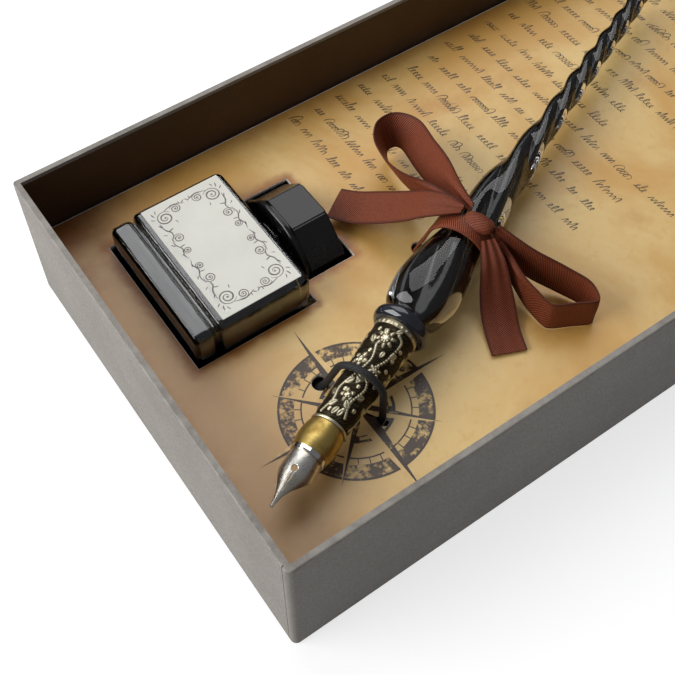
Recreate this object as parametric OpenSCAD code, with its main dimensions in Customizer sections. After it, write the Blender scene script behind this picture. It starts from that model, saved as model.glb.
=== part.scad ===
// Calligraphy set in an open rigid box: a wrapped board tray, a raised printed card insert,
// a square ink bottle lying in its cut-out, and a dip pen with a twisted glass handle
// that an elastic loop and a ribbon bow hold on the card.
// Millimetres. Origin at the centre of the underside, +X along the box, +Y to its back wall, +Z up.

/* [Box] */
// Outer length of the box
box_l = 248; // [220:1:300]
// Outer width of the box
box_w = 125; // [120:1:160]
// Outer height of the box
box_h = 42; // [36:1:60]
// Thickness of the greyboard
board_t = 1.2; // [0.8:0.1:2.5]
// Thickness of the cover paper
wrap_t = 0.25; // [0.15:0.05:0.4]
// Thickness of the gummed corner stays, let into the back of the cover paper
stay_t = 0.12; // [0.08:0.01:0.14]
// Width of each leg of a corner stay
stay_leg = 11; // [6:1:18]
// Thickness of the dark lining paper
lining_t = 0.15; // [0.1:0.05:0.3]
// Drop of the lining's upper edge below the rim
lining_drop = 1.2; // [0.8:0.1:4]
// Depth of the cover paper's turn-in
turn_in = 14; // [8:1:20]
// Radius of the upright outer corners
corner_r = 1.6; // [0.8:0.1:2.5]
// Rounding of the papered rim
rim_r = 0.5; // [0.2:0.1:0.7]

/* [Insert] */
// Height of the printed face over the table
insert_top = 22.7; // [20:0.1:30]
// Thickness of the insert's card
card_t = 0.8; // [0.5:0.1:1.5]
// Thickness of the printed sheet laminated to it
print_t = 0.15; // [0.1:0.05:0.3]
// Gap all round between the insert and the lining
insert_gap = 0.4; // [0.2:0.1:1]
// Setback of the printed sheet from each cut edge, which shows the white card
print_setback = 0.15; // [0.05:0.05:0.5]
// Gap round the bottle in its cut-out
cutout_gap = 0.8; // [0.5:0.1:2]
// Radius of the two punched holes for the elastic
elastic_hole_r = 2.2; // [1.5:0.1:3]
// Radius of the two punched holes for the ribbon
ribbon_hole_r = 2; // [1.5:0.1:3]

/* [Ink bottle] */
// Distance of the bottle's base from the left outer wall
bottle_x = 15.5; // [12:0.5:30]
// Distance of the bottle's axis from the front outer wall
bottle_y = 84.9; // [80:0.1:90]
// Width of the bottle's body
bottle_w = 43.6; // [36:0.2:48]
// Depth of the bottle's body, front to back
bottle_d = 30.8; // [26:0.2:34]
// Length of the foot block
foot_l = 5.9; // [4:0.1:8]
// Width of the groove over the foot
groove_l = 0.9; // [0.6:0.1:1.5]
// Length of the body from the groove to the shoulder
body_l = 26.2; // [22:0.1:30]
// Length of the neck from the shoulder to the lip
neck_l = 13.6; // [12:0.1:16]
// Radius of the neck
neck_r = 9.2; // [8:0.1:10]
// Wall of the glass
glass_t = 2.2; // [1.5:0.1:3]
// Rounding of the body's edges
bottle_r = 2.6; // [1.5:0.1:4]
// Radius of the cap's collar
collar_r = 15.5; // [14:0.1:17]
// Width of the eight-sided cap across its flats
cap_flats = 28; // [24:0.5:29]
// Length of the eight-sided part of the cap
cap_l = 10.2; // [8:0.1:12]
// Rise of the cap per turn on its thread
thread_pitch = 3; // [2:0.1:4]
// Room between the cap's end and the cut-out's edge
cap_room = 1.5; // [1:0.1:3]

/* [Pen] */
// Nib's point from the left outer wall
pen_x = 7.1; // [6:0.1:20]
// Nib's point from the front outer wall
pen_y = 18.2; // [14:0.1:24]
// Angle between the pen and the box's long side
pen_yaw = 22.6; // [18:0.1:24]
// Height of the pen's axis over the printed face
pen_h = 8.9; // [8.8:0.1:10]
// Length of the pen from the nib's point to the handle's end
pen_l = 205; // [190:1:208]
// Length of the nib in front of its ring
nib_l = 14; // [12:0.5:15]
// Radius of the nib's round back
nib_r = 3.9; // [3.5:0.1:4.2]
// Thickness of the nib's steel
nib_t = 0.3; // [0.2:0.05:0.4]
// Length of the nib's shank inside its seat
shank_l = 5; // [4:0.5:6]
// Radial play between nib, ring and plug
nib_play = 0.05; // [0.03:0.01:0.1]
// Length of the bronze barrel
barrel_l = 30.2; // [28:0.2:34]
// Radius of the barrel at its front
barrel_front_r = 4.7; // [4.4:0.1:5]
// Radius of the barrel at its back
barrel_back_r = 5.8; // [5.4:0.1:6.2]
// Radius of the glass collar behind the barrel
glass_collar_r = 7.4; // [6.8:0.1:8]
// Length of the glass collar
glass_collar_l = 4; // [3:0.5:5]
// Largest radius of the handle's bulb
bulb_r = 8.7; // [7.5:0.1:8.7]
// Radius of the twisted shaft
shaft_r = 3; // [2.4:0.1:3.6]
// Number of flutes round the twisted glass
flutes = 3; // [3:1:5]
// Length of the shaft in which a flute goes once round
twist_pitch = 30; // [20:1:40]
// Mean radius of the coloured core as a share of the glass round it
core_share = 0.62; // [0.5:0.02:0.66]
// Rise of the core's lobes over its mean radius, as a share of it
core_lobe = 0.3; // [0:0.05:0.3]

/* [Elastic] */
// Thickness of the round elastic
elastic_d = 1.8; // [1.4:0.1:2.4]
// Distance of the elastic from the nib's point, along the pen
elastic_s = 36.5; // [33:0.5:40]
// Play between the elastic and the barrel
elastic_play = 0.3; // [0.2:0.1:0.6]
// Far hole's distance from the pen's axis
elastic_far = 10.9; // [9.5:0.1:12]
// Near hole's distance from the pen's axis
elastic_near = 6.9; // [6.5:0.1:8]

/* [Ribbon] */
// Width of the ribbon
ribbon_w = 10; // [6:0.5:12]
// Thickness of the ribbon
ribbon_t = 0.35; // [0.2:0.05:0.6]
// Width of the ribbon where the band over the pen gathers it
band_w = 5; // [4:0.5:7]
// Distance of the band from the nib's point, along the pen
ribbon_s = 84.4; // [80:0.1:90]
// Far hole's distance from the pen's axis
ribbon_far = 11.4; // [11:0.1:14]
// Near hole's distance from the pen's axis
ribbon_near = 12.8; // [11:0.1:14]
// Play between the ribbon and the glass
ribbon_play = 0.3; // [0.2:0.1:0.6]

/* [Hidden] */
$fn = 48;
eps = 0.01;

// Levels and insets of the box
board_in = wrap_t + board_t;
lining_in = board_in + wrap_t;
clear_in = lining_in + lining_t;
floor_z = board_in + lining_t;
rest_gap = 0.05;

// Levels of the insert and sizes of what lies in it
card_top = insert_top - print_t;
insert_l = box_l - 2 * (clear_in + insert_gap);
insert_w = box_w - 2 * (clear_in + insert_gap);
film_t = 0.12;
film_gap = 0.1;
bottle_z = floor_z + rest_gap + max(bottle_d / 2 + film_t + film_gap, collar_r + 0.1);
label_t = 0.15;
label_l = 22.4;
label_w = 40;
base_t = 3.4;
liner_t = 1;
cap_chamfer = 1.2;
collar_l = 2.2;
shoulder_x = foot_l + groove_l + body_l;
collar_start = shoulder_x + 3.1;
cap_end = collar_start + collar_l + cap_l;
lip_x = shoulder_x + neck_l - 1;
cap_bore_r = neck_r + 1.4;
cap_mouth_r = cap_bore_r + 1.6;

// Stations along the pen, from the nib's point
ring_l = 1.2;
section_s = nib_l + ring_l;
section_l = 6.8;
groove_s = section_s + section_l;
barrel_s = groove_s + 0.8;
barrel_end = barrel_s + barrel_l;
handle_s = barrel_end + rest_gap + glass_collar_l + rest_gap;
ring_bore_r = nib_r + nib_play;
plug_r = nib_r - nib_t - nib_play;
sleeve_r = ring_bore_r + 0.14;
seat_end = nib_l + shank_l + 0.4;
tenon_r = barrel_front_r - 1.3;
tang_r = 4.3;
tang_l = 8.5;

// Where things stand in the box: children are measured from the left front outer corner
module from_corner() translate([-box_l / 2, -box_w / 2, 0]) children();

// The pen's own frame: +X from the nib's point along the pen, +Y to the back wall, z = 0 on its axis
module pen_frame()
    from_corner() translate([pen_x, pen_y, insert_top + pen_h]) rotate([0, 0, pen_yaw]) children();

// The bottle's own frame: +X from the base along its axis
module bottle_frame() from_corner() translate([bottle_x, bottle_y, bottle_z]) children();

// A flat rectangle with round corners
module round_rect(l, w, r) {
    square([l - 2 * r, w], center = true);
    square([l, w - 2 * r], center = true);
    for (x = [-1, 1], y = [-1, 1]) translate([x * (l / 2 - r), y * (w / 2 - r)]) circle(r = r);
}

// The box's outline drawn in by d, with round outer corners
module outline(d) round_rect(box_l - 2 * d, box_w - 2 * d, max(corner_r - d, 0.2));

// The box's outline drawn in by d, with square corners
module inset(d) square([box_l - 2 * d, box_w - 2 * d], center = true);

// A prism between two levels
module slab(z0, z1) translate([0, 0, z0]) linear_extrude(z1 - z0) children();

// The sliver between a square edge and a quarter round of radius r, along an edge of length l
module edge_round(l, r)
    rotate([90, 0, 90]) linear_extrude(l, center = true) difference() {
        translate([-1, -1]) square([1 + r, 1 + r]);
        translate([-r - 1, -r - 1]) square([1 + r, 2 * r + 3]);
        translate([-1 - r, -r - 1]) square([2 * r + 3, 1 + r]);
        circle(r = r);
    }

// Quarter rounds cut along the four upper edges of a block, l by w, whose top is at z
module round_top_edges(l, w, z, r)
    for (side = [0, 1]) {
        for (m = [0, 1]) mirror([0, m, 0]) translate([0, w / 2 - r, z - r]) edge_round(l + 4, r);
        for (m = [0, 1]) mirror([m, 0, 0]) translate([l / 2 - r, 0, z - r])
            rotate([0, 0, -90]) edge_round(w + 4, r);
    }

// Boards of the tray, rounded at the upright corners with the box
module in_core() intersection() {
    slab(wrap_t, box_h - wrap_t) outline(wrap_t);
    children();
}
module board_bottom() color("#8d8478") slab(wrap_t, board_in) outline(wrap_t);
module long_board() in_core()
    translate([-box_l / 2, -box_w / 2 + wrap_t, board_in]) cube([box_l, board_t, box_h]);
module end_board() in_core() translate([-box_l / 2 + wrap_t, -box_w / 2 + board_in, board_in])
    cube([board_t, box_w - 2 * board_in, box_h]);
module board_front() color("#8d8478") long_board();
module board_back() color("#8d8478") mirror([0, 1, 0]) long_board();
module board_left() color("#8d8478") end_board();
module board_right() color("#8d8478") mirror([1, 0, 0]) end_board();

// Gummed paper stays round the four upright corners, between board and cover paper
module corner_stays() color("#b59a6a") slab(board_in, box_h - wrap_t - 1) intersection() {
    difference() {
        outline(wrap_t - stay_t);
        outline(wrap_t);
    }
    for (x = [-1, 1], y = [-1, 1]) translate([x * box_l / 2, y * box_w / 2])
        square(2 * stay_leg, center = true);
}

// Cover paper: underside, outer walls, over the rim and down inside the walls
module wrap_paper() color("#5f554e") difference() {
    union() {
        slab(0, wrap_t) outline(0);
        slab(0, box_h) difference() {
            outline(0);
            outline(wrap_t);
        }
        slab(box_h - wrap_t, box_h) difference() {
            outline(0);
            inset(lining_in);
        }
        slab(box_h - turn_in, box_h) difference() {
            inset(board_in);
            inset(lining_in);
        }
    }
    corner_stays();
    round_top_edges(box_l, box_w, box_h, rim_r);
}

// Dark lining paper on the floor and round the inside of the walls
module floor_lining() color("#2a1c12") slab(board_in, floor_z) inset(lining_in);
module wall_lining() color("#2a1c12") slab(floor_z, box_h - lining_drop) difference() {
    inset(lining_in);
    inset(clear_in);
}

// Plan of the bottle's cut-out: a rectangle for the body and a narrower one for the cap to lift through
module bottle_cutout(grow) {
    cap_half = collar_r + cutout_gap / 2 + grow;
    g = cutout_gap + grow;
    from_corner() translate([bottle_x, bottle_y]) {
        translate([-g, -bottle_w / 2 - g])
            square([foot_l + groove_l + body_l + 2 * g, bottle_w + 2 * g]);
        translate([0, -cap_half]) square([cap_end + cap_room + grow, 2 * cap_half]);
    }
}

// Plan of the four punched holes
module punched_holes(grow) from_corner() translate([pen_x, pen_y]) rotate(pen_yaw) {
    for (t = [elastic_far, -elastic_near]) translate([elastic_s, t]) circle(r = elastic_hole_r + grow);
    for (t = [ribbon_far, -ribbon_near]) translate([ribbon_s, t]) circle(r = ribbon_hole_r + grow);
}

// The insert: one die-cut card whose four sides fold down to the floor
module insert_card() color("#e9e4da") difference() {
    slab(floor_z + rest_gap, card_top) square([insert_l, insert_w], center = true);
    slab(0, card_top - card_t) square([insert_l - 2 * card_t, insert_w - 2 * card_t], center = true);
    slab(0, box_h) {
        bottle_cutout(0);
        punched_holes(0);
    }
    for (x = [-1, 1], y = [-1, 1]) translate([x * insert_l / 2, y * insert_w / 2, 0])
        rotate([0, 0, 45]) cube([3 * card_t, 0.5, 2 * (card_top - 2 * card_t)], center = true);
    round_top_edges(insert_l, insert_w, card_top, card_t * 0.9);
}

// The printed sheet on the insert's flat top
module parchment_print() color("#d6aa64") slab(card_top, insert_top) difference() {
    square([insert_l - 2 * card_t, insert_w - 2 * card_t], center = true);
    bottle_cutout(print_setback);
    punched_holes(print_setback);
}

// Barrel's radius at a station
function barrel_r(s) = barrel_front_r
    + (barrel_back_r - barrel_front_r) * (s - barrel_s) / barrel_l;

// Elastic loop: an arch over the barrel, a leg down through each hole and a knot on each end under
// the card, as one tube of rings in the plane across the pen. Each ring is [y, z, radius].
elastic_r = elastic_d / 2;
arch_r = barrel_r(elastic_s) + elastic_play + elastic_r;
far_leg = elastic_far - elastic_hole_r + elastic_r + 0.25;
knot_r = elastic_hole_r + 0.4;
knot_z = -pen_h - print_t - card_t - rest_gap - knot_r;
// Angle on a circle of radius r round [0, h] where the line from [x, 0], x > 0, touches it
function touch(x, h, r) = acos(r / norm([x, h])) - atan2(h, x);
far_touch = touch(far_leg, pen_h, arch_r);
far_slope = (far_leg - arch_r * cos(far_touch)) / (pen_h + arch_r * sin(far_touch));
knot_rings = [[-1, 0.3], [-0.8, 1.6], [-0.4, 2.4], [0.1, 2.6], [0.5, 2.2], [0.8, 1.3]];
arch_steps = 16;
elastic_rings = concat(
    [for (k = knot_rings) [-arch_r, knot_z + k[0] * knot_r, k[1] / 2.6 * knot_r]],
    [for (z = [knot_z + knot_r + 0.1, -pen_h, -pen_h / 2]) [-arch_r, z, elastic_r]],
    [for (i = [0:arch_steps]) let (a = 180 - (180 - far_touch) * i / arch_steps)
        [arch_r * cos(a), arch_r * sin(a), elastic_r]],
    [for (z = [-pen_h / 2, -pen_h, knot_z + knot_r + 0.1])
        [far_leg - far_slope * (z + pen_h), z, elastic_r]],
    [for (i = [len(knot_rings) - 1:-1:0]) let (k = knot_rings[i], z = knot_z + k[0] * knot_r)
        [far_leg - far_slope * (z + pen_h), z, k[1] / 2.6 * knot_r]]
);
elastic_sides = 12;
function elastic_run(i) =
    let (
        p = elastic_rings[max(i - 1, 0)],
        q = elastic_rings[min(i + 1, len(elastic_rings) - 1)],
        d = [q[0] - p[0], q[1] - p[1]]
    ) d / norm(d);
function elastic_ring(i) =
    let (p = elastic_rings[i], d = elastic_run(i))
    [for (j = [0:elastic_sides - 1]) let (a = 360 * j / elastic_sides)
        [p[2] * cos(a), p[0] - p[2] * sin(a) * d[1], p[1] + p[2] * sin(a) * d[0]]];
module elastic_loop() color("#17171a") pen_frame() translate([elastic_s, 0, 0])
    loft([for (i = [0:len(elastic_rings) - 1]) elastic_ring(i)]);

// The ribbon's run under the card, and its two gathered ends that fill the holes
gather_r = ribbon_hole_r * 0.72;
underlay_z = -pen_h - print_t - card_t - rest_gap;
module ribbon_underlay() color("#6e3726") pen_frame() translate([ribbon_s, 0, 0]) {
    translate([-ribbon_w / 2, -ribbon_near - gather_r, underlay_z - ribbon_t])
        cube([ribbon_w, ribbon_near + ribbon_far + 2 * gather_r, ribbon_t]);
    for (t = [ribbon_far, -ribbon_near]) translate([0, t, underlay_z - ribbon_t])
        cylinder(r = gather_r, h = -pen_h - underlay_z + ribbon_t);
}

// A block along X with its four long edges and its end edges rounded by three crossed prisms
module soft_block(l, w, d, r) intersection() {
    translate([l / 2, 0, -d / 2]) linear_extrude(d) round_rect(l, w, r);
    rotate([90, 0, 90]) linear_extrude(l) round_rect(w, d, r);
    translate([l / 2, w / 2, 0]) rotate([90, 0, 0]) linear_extrude(w) round_rect(l, d, r);
}

// Room inside the glass
cavity_x = base_t;
cavity_l = foot_l + groove_l + body_l - base_t - glass_t;
module cavity() translate([cavity_x, 0, 0])
    soft_block(cavity_l, bottle_w - 2 * glass_t - 1.6, bottle_d - 2 * glass_t - 1.6, bottle_r - 0.8);

// Bottle: a foot block, a groove, the square body and a round neck with its lip
module bottle_glass() color([0.75, 0.8, 0.85, 0.5]) bottle_frame() difference() {
    union() {
        soft_block(foot_l + 0.6, bottle_w - 0.8, bottle_d - 1.8, 2);
        translate([foot_l - 0.6, 0, 0])
            soft_block(groove_l + 2.4, bottle_w - 2.6, bottle_d - 3.4, 0.6);
        translate([foot_l + groove_l, 0, 0]) soft_block(body_l, bottle_w, bottle_d, bottle_r);
        rotate([0, 90, 0]) {
            cylinder(r = neck_r, h = lip_x);
            translate([0, 0, collar_start - 2]) cylinder(r = neck_r + 1.3, h = 1.4);
        }
    }
    cavity();
    rotate([0, 90, 0]) translate([0, 0, cavity_x + 5]) cylinder(r = neck_r - glass_t, h = 60);
}

// Ink that fills the body of the bottle
module bottle_ink() color("#08080c") bottle_frame() intersection() {
    cavity();
    translate([0, -50, -50]) cube([cavity_x + cavity_l - rest_gap, 100, 100]);
}

// Paper label on the upper face
label_x = foot_l + groove_l + (body_l - label_l) / 2;
module bottle_label() color("#e6e1d6") bottle_frame()
    translate([label_x, -label_w / 2, bottle_d / 2]) cube([label_l, label_w, label_t]);

// Clear shrink film round foot and body, with a flap of spare film at the front shoulder.
// It stands open over the label, which it holds down by its edge.
film_r = bottle_r + film_gap;
film_l = foot_l + groove_l + body_l - 1;
module film_section(g) round_rect(bottle_w + 2 * g, bottle_d + 2 * g, bottle_r + g);
module shrink_film() color([0.9, 0.95, 1, 0.25]) bottle_frame() {
    difference() {
        rotate([90, 0, 90]) linear_extrude(film_l) difference() {
            film_section(film_gap + film_t);
            film_section(film_gap);
        }
        translate([label_x - 0.4, -label_w / 2 - 0.4, 0]) cube([label_l + 0.8, label_w + 0.8, 50]);
    }
    translate([film_l - 4, -bottle_w / 2 - film_gap - film_t / 2, insert_top - bottle_z + 1])
        linear_extrude(film_t) polygon([[0, 0], [3.9, 0], [6.4, -2.6], [3, -1.4]]);
}

// Cap: a round collar under an eight-sided head with a chamfered end. Its hollow is eight-sided too,
// and wider at the mouth, to pass the ring on the neck
module bottle_cap() color("#161618") bottle_frame() rotate([0, 90, 0]) difference() {
    union() {
        translate([0, 0, collar_start]) cylinder(r = collar_r, h = collar_l);
        intersection() {
            translate([0, 0, collar_start + collar_l]) rotate([0, 0, 22.5])
                cylinder(d = cap_flats / cos(22.5), h = cap_l, $fn = 8);
            translate([0, 0, cap_end - 20]) cylinder(r1 = 20 + cap_flats / 2,
                r2 = cap_flats / 2 / cos(22.5) - cap_chamfer, h = 20, $fn = 64);
        }
    }
    translate([0, 0, collar_start - eps]) rotate([0, 0, 22.5]) {
        cylinder(r = cap_bore_r / cos(22.5), h = lip_x + liner_t + rest_gap - collar_start + eps, $fn = 8);
        cylinder(r = cap_mouth_r / cos(22.5), h = collar_l + eps, $fn = 8);
    }
}

// Foam disc that seals the lip
module cap_liner() color("#d8d4c8") bottle_frame() rotate([0, 90, 0])
    translate([0, 0, lip_x + rest_gap / 2]) cylinder(r = neck_r + 0.3, h = liner_t);

// A turned piece: its profile is a list of [radius, station]
module turned(profile) rotate([0, 90, 0]) rotate_extrude($fn = 64) polygon(profile);

// Bronze barrel: a slight cone with a bead at its back, bored for the section's tenon and the glass
module pen_barrel() color("#8c7442") pen_frame() turned([
    [tenon_r + nib_play, barrel_s], [barrel_front_r - 0.15, barrel_s], [barrel_front_r, barrel_s + 0.3],
    [barrel_r(barrel_end - 1.6), barrel_end - 1.6], [barrel_back_r + 0.25, barrel_end - 1.2],
    [barrel_back_r + 0.25, barrel_end - 0.5], [barrel_back_r - 0.1, barrel_end],
    [tang_r + nib_play, barrel_end], [tang_r + nib_play, barrel_end - tang_l - 0.3],
    [tenon_r + nib_play, barrel_end - tang_l - 0.3]
]);

// Brass section in front of the barrel: a dome that swells and draws in to a dark groove
dome_steps = 8;
dome_front_r = 4.5;
dome_r = 4.95;
module nib_section() color("#a08a48") pen_frame() turned([
    [sleeve_r, section_s],
    for (i = [0:dome_steps])
        let (u = i / dome_steps)
        [dome_front_r + (dome_r - dome_front_r) * sin(180 * u) + 0.15 * u, section_s + section_l * u],
    [barrel_front_r - 0.45, groove_s], [barrel_front_r - 0.45, barrel_s], [tenon_r, barrel_s],
    [tenon_r, barrel_s + 7], [2.05, barrel_s + 7], [2.05, seat_end], [sleeve_r, seat_end]
]);

// Bright ring that shows round the nib's root, with its sleeve inside the section
module nib_ring() color("#d9dadc") pen_frame() turned([
    [ring_bore_r, nib_l], [ring_bore_r + 0.3, nib_l], [ring_bore_r + 0.42, nib_l + 0.3],
    [ring_bore_r + 0.42, section_s], [sleeve_r, section_s], [sleeve_r, seat_end - 0.1],
    [ring_bore_r, seat_end - 0.1]
]);

// Plug that the nib's shank grips, on a stem in the section
module nib_plug() color("#2b2b2d") pen_frame() turned([
    [0, nib_l + 0.4], [plug_r, nib_l + 0.4], [plug_r, seat_end], [2, seat_end], [2, barrel_s + 4],
    [0, barrel_s + 4]
]);

// A point on the Catmull-Rom curve between p1 and p2
function on_curve(p0, p1, p2, p3, t) = 0.5 * (2 * p1 + (p2 - p0) * t
    + (2 * p0 - 5 * p1 + 4 * p2 - p3) * t * t + (3 * p1 - p0 - 3 * p2 + p3) * t * t * t);

// A list of points smoothed with n steps between neighbours
function smooth(pts, n) = [
    for (i = [0:len(pts) - 2], k = [0:n - 1])
        on_curve(pts[max(i - 1, 0)], pts[i], pts[i + 1], pts[min(i + 2, len(pts) - 1)], k / n),
    pts[len(pts) - 1]
];

// A solid through rings of points that all have the same count
module loft(rings) {
    n = len(rings[0]);
    m = len(rings);
    polyhedron(
        points = [for (ring = rings) for (p = ring) p],
        faces = [
            [for (j = [0:n - 1]) n - 1 - j],
            for (i = [0:m - 2], j = [0:n - 1]) [i * n + j, i * n + (j + 1) % n, (i + 1) * n + (j + 1) % n],
            for (i = [0:m - 2], j = [0:n - 1]) [i * n + j, (i + 1) * n + (j + 1) % n, (i + 1) * n + j],
            [for (j = [0:n - 1]) (m - 1) * n + j]
        ]
    );
}

// Outline of the handle as [station, radius]: bulb, waist, and the taper into the shaft
swell = [
    [handle_s, bulb_r - 3.1], [handle_s + 1.2, bulb_r - 2.9], [handle_s + 3.6, bulb_r - 1.2],
    [handle_s + 9, bulb_r - 0.05], [handle_s + 14, bulb_r - 0.15], [handle_s + 21, bulb_r - 0.95],
    [handle_s + 28, bulb_r - 1.75], [handle_s + 36, bulb_r - 2.25], [handle_s + 45, bulb_r - 2.8],
    [handle_s + 55, (bulb_r + 1.6 * shaft_r) / 2 - 1.5], [handle_s + 66, 1.35 * shaft_r],
    [handle_s + 80, 1.12 * shaft_r]
];
swell_end = handle_s + 80;
tip_l = 3;
shaft_rings = 54;
swell_line = smooth(swell, 3);
shaft_line = [
    for (i = [1:shaft_rings])
        let (s = swell_end + (pen_l - tip_l - swell_end) * i / shaft_rings)
        [s, shaft_r * (1.12 - 0.22 * i / shaft_rings)]
];
tip_line = [
    [pen_l - tip_l * 0.6, shaft_r * 0.84], [pen_l - tip_l * 0.3, shaft_r * 0.66],
    [pen_l - tip_l * 0.08, shaft_r * 0.4], [pen_l, shaft_r * 0.12]
];
handle_line = concat(swell_line, shaft_line, tip_line);

// Twist in degrees per millimetre, and depth of the flutes, at a station
twist_rate = 360 / twist_pitch;
flute_start = 23;
function twist_at(s) = twist_rate * lookup(s, [
    [handle_s, 0.25], [handle_s + 33, 0.3], [handle_s + 50, 0.38], [handle_s + 60, 0.49],
    [handle_s + 77, 0.67], [handle_s + 91, 0.87], [handle_s + 103, 1]
]);
function flute_at(s) = lookup(s, [
    [handle_s + 5, 0], [handle_s + 14, 0.02], [handle_s + 30, 0.05], [handle_s + 60, 0.12],
    [pen_l - tip_l, 0.14], [pen_l, 0]
]);
turns = [
    for (i = 0, a = 0; i < len(handle_line);
        a = a + (i + 1 < len(handle_line) ?
            twist_at(handle_line[i][0]) * (handle_line[i + 1][0] - handle_line[i][0]) : 0),
        i = i + 1) a
];

// Handle: glass whose flutes wind round it, slowly on the bulb and quickly on the shaft, round a lobed
// core that winds with them. Its rings start at the bottom of the core's bore, run out to its mouth and
// then back along the outside.
sides = 7 * flutes;
core_end = len(handle_line) - 6;
function lobed_ring(i, s, r, swing) = [
    for (j = [0:sides - 1])
        let (a = -360 * j / sides, w = r * (1 + swing * cos(flutes * (a - turns[i] - flute_start))))
        [s, w * sin(a), w * cos(a)]
];
function core_ring(i, share) =
    let (p = handle_line[i]) lobed_ring(i, p[0] - 0.004 * (p[0] - handle_s), p[1] * share, core_lobe);
function fluted_ring(i) =
    let (p = handle_line[i], f = flute_at(p[0])) lobed_ring(i, p[0], p[1] * (1 - f), f / (1 - f));
module glass_handle() color([0.55, 0.58, 0.62, 0.6]) pen_frame() loft([
    for (i = [core_end:-2:0]) core_ring(i, core_share),
    for (i = [0:len(handle_line) - 1]) fluted_ring(i)
]);
module glass_core() color("#101014") pen_frame() loft([
    for (i = [core_end:-2:0]) core_ring(i, core_share - 0.01)
]);

// Glass collar: a round-edged disc with the tang that sits in the barrel
collar_edge = glass_collar_l / 2;
module glass_collar() color([0.3, 0.3, 0.33, 0.8]) pen_frame() translate([barrel_end + rest_gap, 0, 0])
    rotate([0, 90, 0]) {
        translate([0, 0, -rest_gap - tang_l]) cylinder(r = tang_r, h = tang_l + rest_gap + 1);
        rotate_extrude($fn = 64) {
            square([glass_collar_r - collar_edge, glass_collar_l]);
            intersection() {
                translate([glass_collar_r - collar_edge, collar_edge]) circle(r = collar_edge);
                square([glass_collar_r, glass_collar_l]);
            }
        }
    }

// Steel nib as [station, radius, half angle, height of its crown]
nib_tip_s = 0.4;
nib_rows = [
    [nib_l + shank_l, nib_r, 100, nib_r], [nib_l, nib_r, 100, nib_r],
    [nib_l - 2, nib_r + 0.1, 98, nib_r - 0.15], [nib_l - 4, nib_r + 0.2, 85, nib_r - 0.6],
    [nib_l - 5.3, nib_r + 0.1, 70, nib_r - 1], [nib_l - 7, nib_r - 0.6, 60, nib_r - 1.55],
    [nib_l - 8.5, nib_r - 1.5, 52, nib_r - 2], [nib_l - 10, nib_r - 2.2, 45, nib_r - 2.45],
    [nib_l - 11.2, nib_r - 2.7, 40, nib_r - 2.8], [nib_l - 12.4, nib_r - 3, 38, nib_r - 3.15],
    [nib_tip_s, nib_r - 3.2, 30, nib_r - 3.4]
];
nib_steps = 14;
function nib_arc(row, r) = [
    for (k = [0:nib_steps]) let (a = -row[2] + 2 * row[2] * k / nib_steps)
        [row[0], r * sin(a), row[3] - row[1] + r * cos(a)]
];
function nib_ring_at(row) =
    let (outer = nib_arc(row, row[1]), inner = nib_arc(row, row[1] - nib_t))
    concat([for (k = [0:nib_steps]) outer[nib_steps - k]], inner);
module steel_nib() color("#c9cbce") pen_frame() resize([nib_l + shank_l - nib_tip_s, 0, 0]) difference() {
    loft([for (row = nib_rows) nib_ring_at(row)]);
    translate([nib_l - 4.4, 0, 0]) rotate([0, 0, 15]) cylinder(r = 0.75, h = 10, $fn = 12);
    translate([1.2, -0.07, -1]) cube([nib_l - 6, 0.14, 10]);
}

// Height of the glass under the ribbon band, at its thicker edge
band_edge_s = ribbon_s - band_w / 2;
under_band_r = max([for (i = [1:len(handle_line) - 1])
    (abs(handle_line[i][0] - band_edge_s) < 3 ? handle_line[i][1] : 0)]);
band_r = under_band_r + ribbon_play;
band_t = 0.6;
band_foot = -pen_h + ribbon_play;

// Section of the band across the pen: an arch and two straight legs down to the holes
function band_touch(x) = touch(x, pen_h - ribbon_play, band_r + band_t / 2);
band_steps = 20;
function band_arc(r, a, b) = [
    for (i = [0:band_steps]) let (c = a + (b - a) * i / band_steps) [r * cos(c), r * sin(c)]
];
module ribbon_band() color("#6e3726") pen_frame() translate([band_edge_s, 0, 0])
    rotate([90, 0, 90]) linear_extrude(band_w) {
        a = band_touch(ribbon_far);
        b = 180 - band_touch(ribbon_near);
        polygon(concat(
            [[ribbon_far - band_t / 2, band_foot], [ribbon_far + band_t / 2, band_foot]],
            band_arc(band_r + band_t, a, b),
            [[-ribbon_near - band_t / 2, band_foot], [-ribbon_near + band_t / 2, band_foot]],
            band_arc(band_r, b, a)
        ));
    }

// The bow. Each point is [x, y, z, width x, width y, width z, share of the width], with x and y
// from the point of the card under the pen's axis at the band, and z over the printed face.
knot_at = [3.6, -1.8, 17];
module bow_frame()
    from_corner() translate([
        pen_x + ribbon_s * cos(pen_yaw), pen_y + ribbon_s * sin(pen_yaw), insert_top
    ]) children();
left_tail = [
    [2.4, 3.4, 18, 1, 0.1, -0.1, 0.4], [0.2, 7, 17.3, 0.9, 0.5, 0, 0.7], [-2.4, 11.5, 15.2, 0.8, 0.6, 0, 0.9],
    [-5, 17, 10.8, 0.8, 0.6, 0.1, 1], [-9, 23.5, 6.6, 0.75, 0.65, 0.15, 1],
    [-12.2, 28.6, 4, 0.7, 0.7, 0.1, 1], [-15.2, 33.6, 3, 0.6, 0.8, 0, 1]
];
front_tail = [
    [2.6, -6.4, 15.8, 0.9, -0.2, 0.3, 0.35], [1.2, -10.6, 12.6, 1, -0.2, 0.3, 0.6],
    [-0.4, -14.5, 7.4, 1, -0.3, 0.2, 0.8], [-2, -18.2, 3.4, 1, -0.35, 0.1, 0.9],
    [-4, -22.5, 1.3, 1, -0.35, 0, 0.9], [-6.4, -28.2, 0.8, 1, -0.35, 0, 0.9]
];
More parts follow.
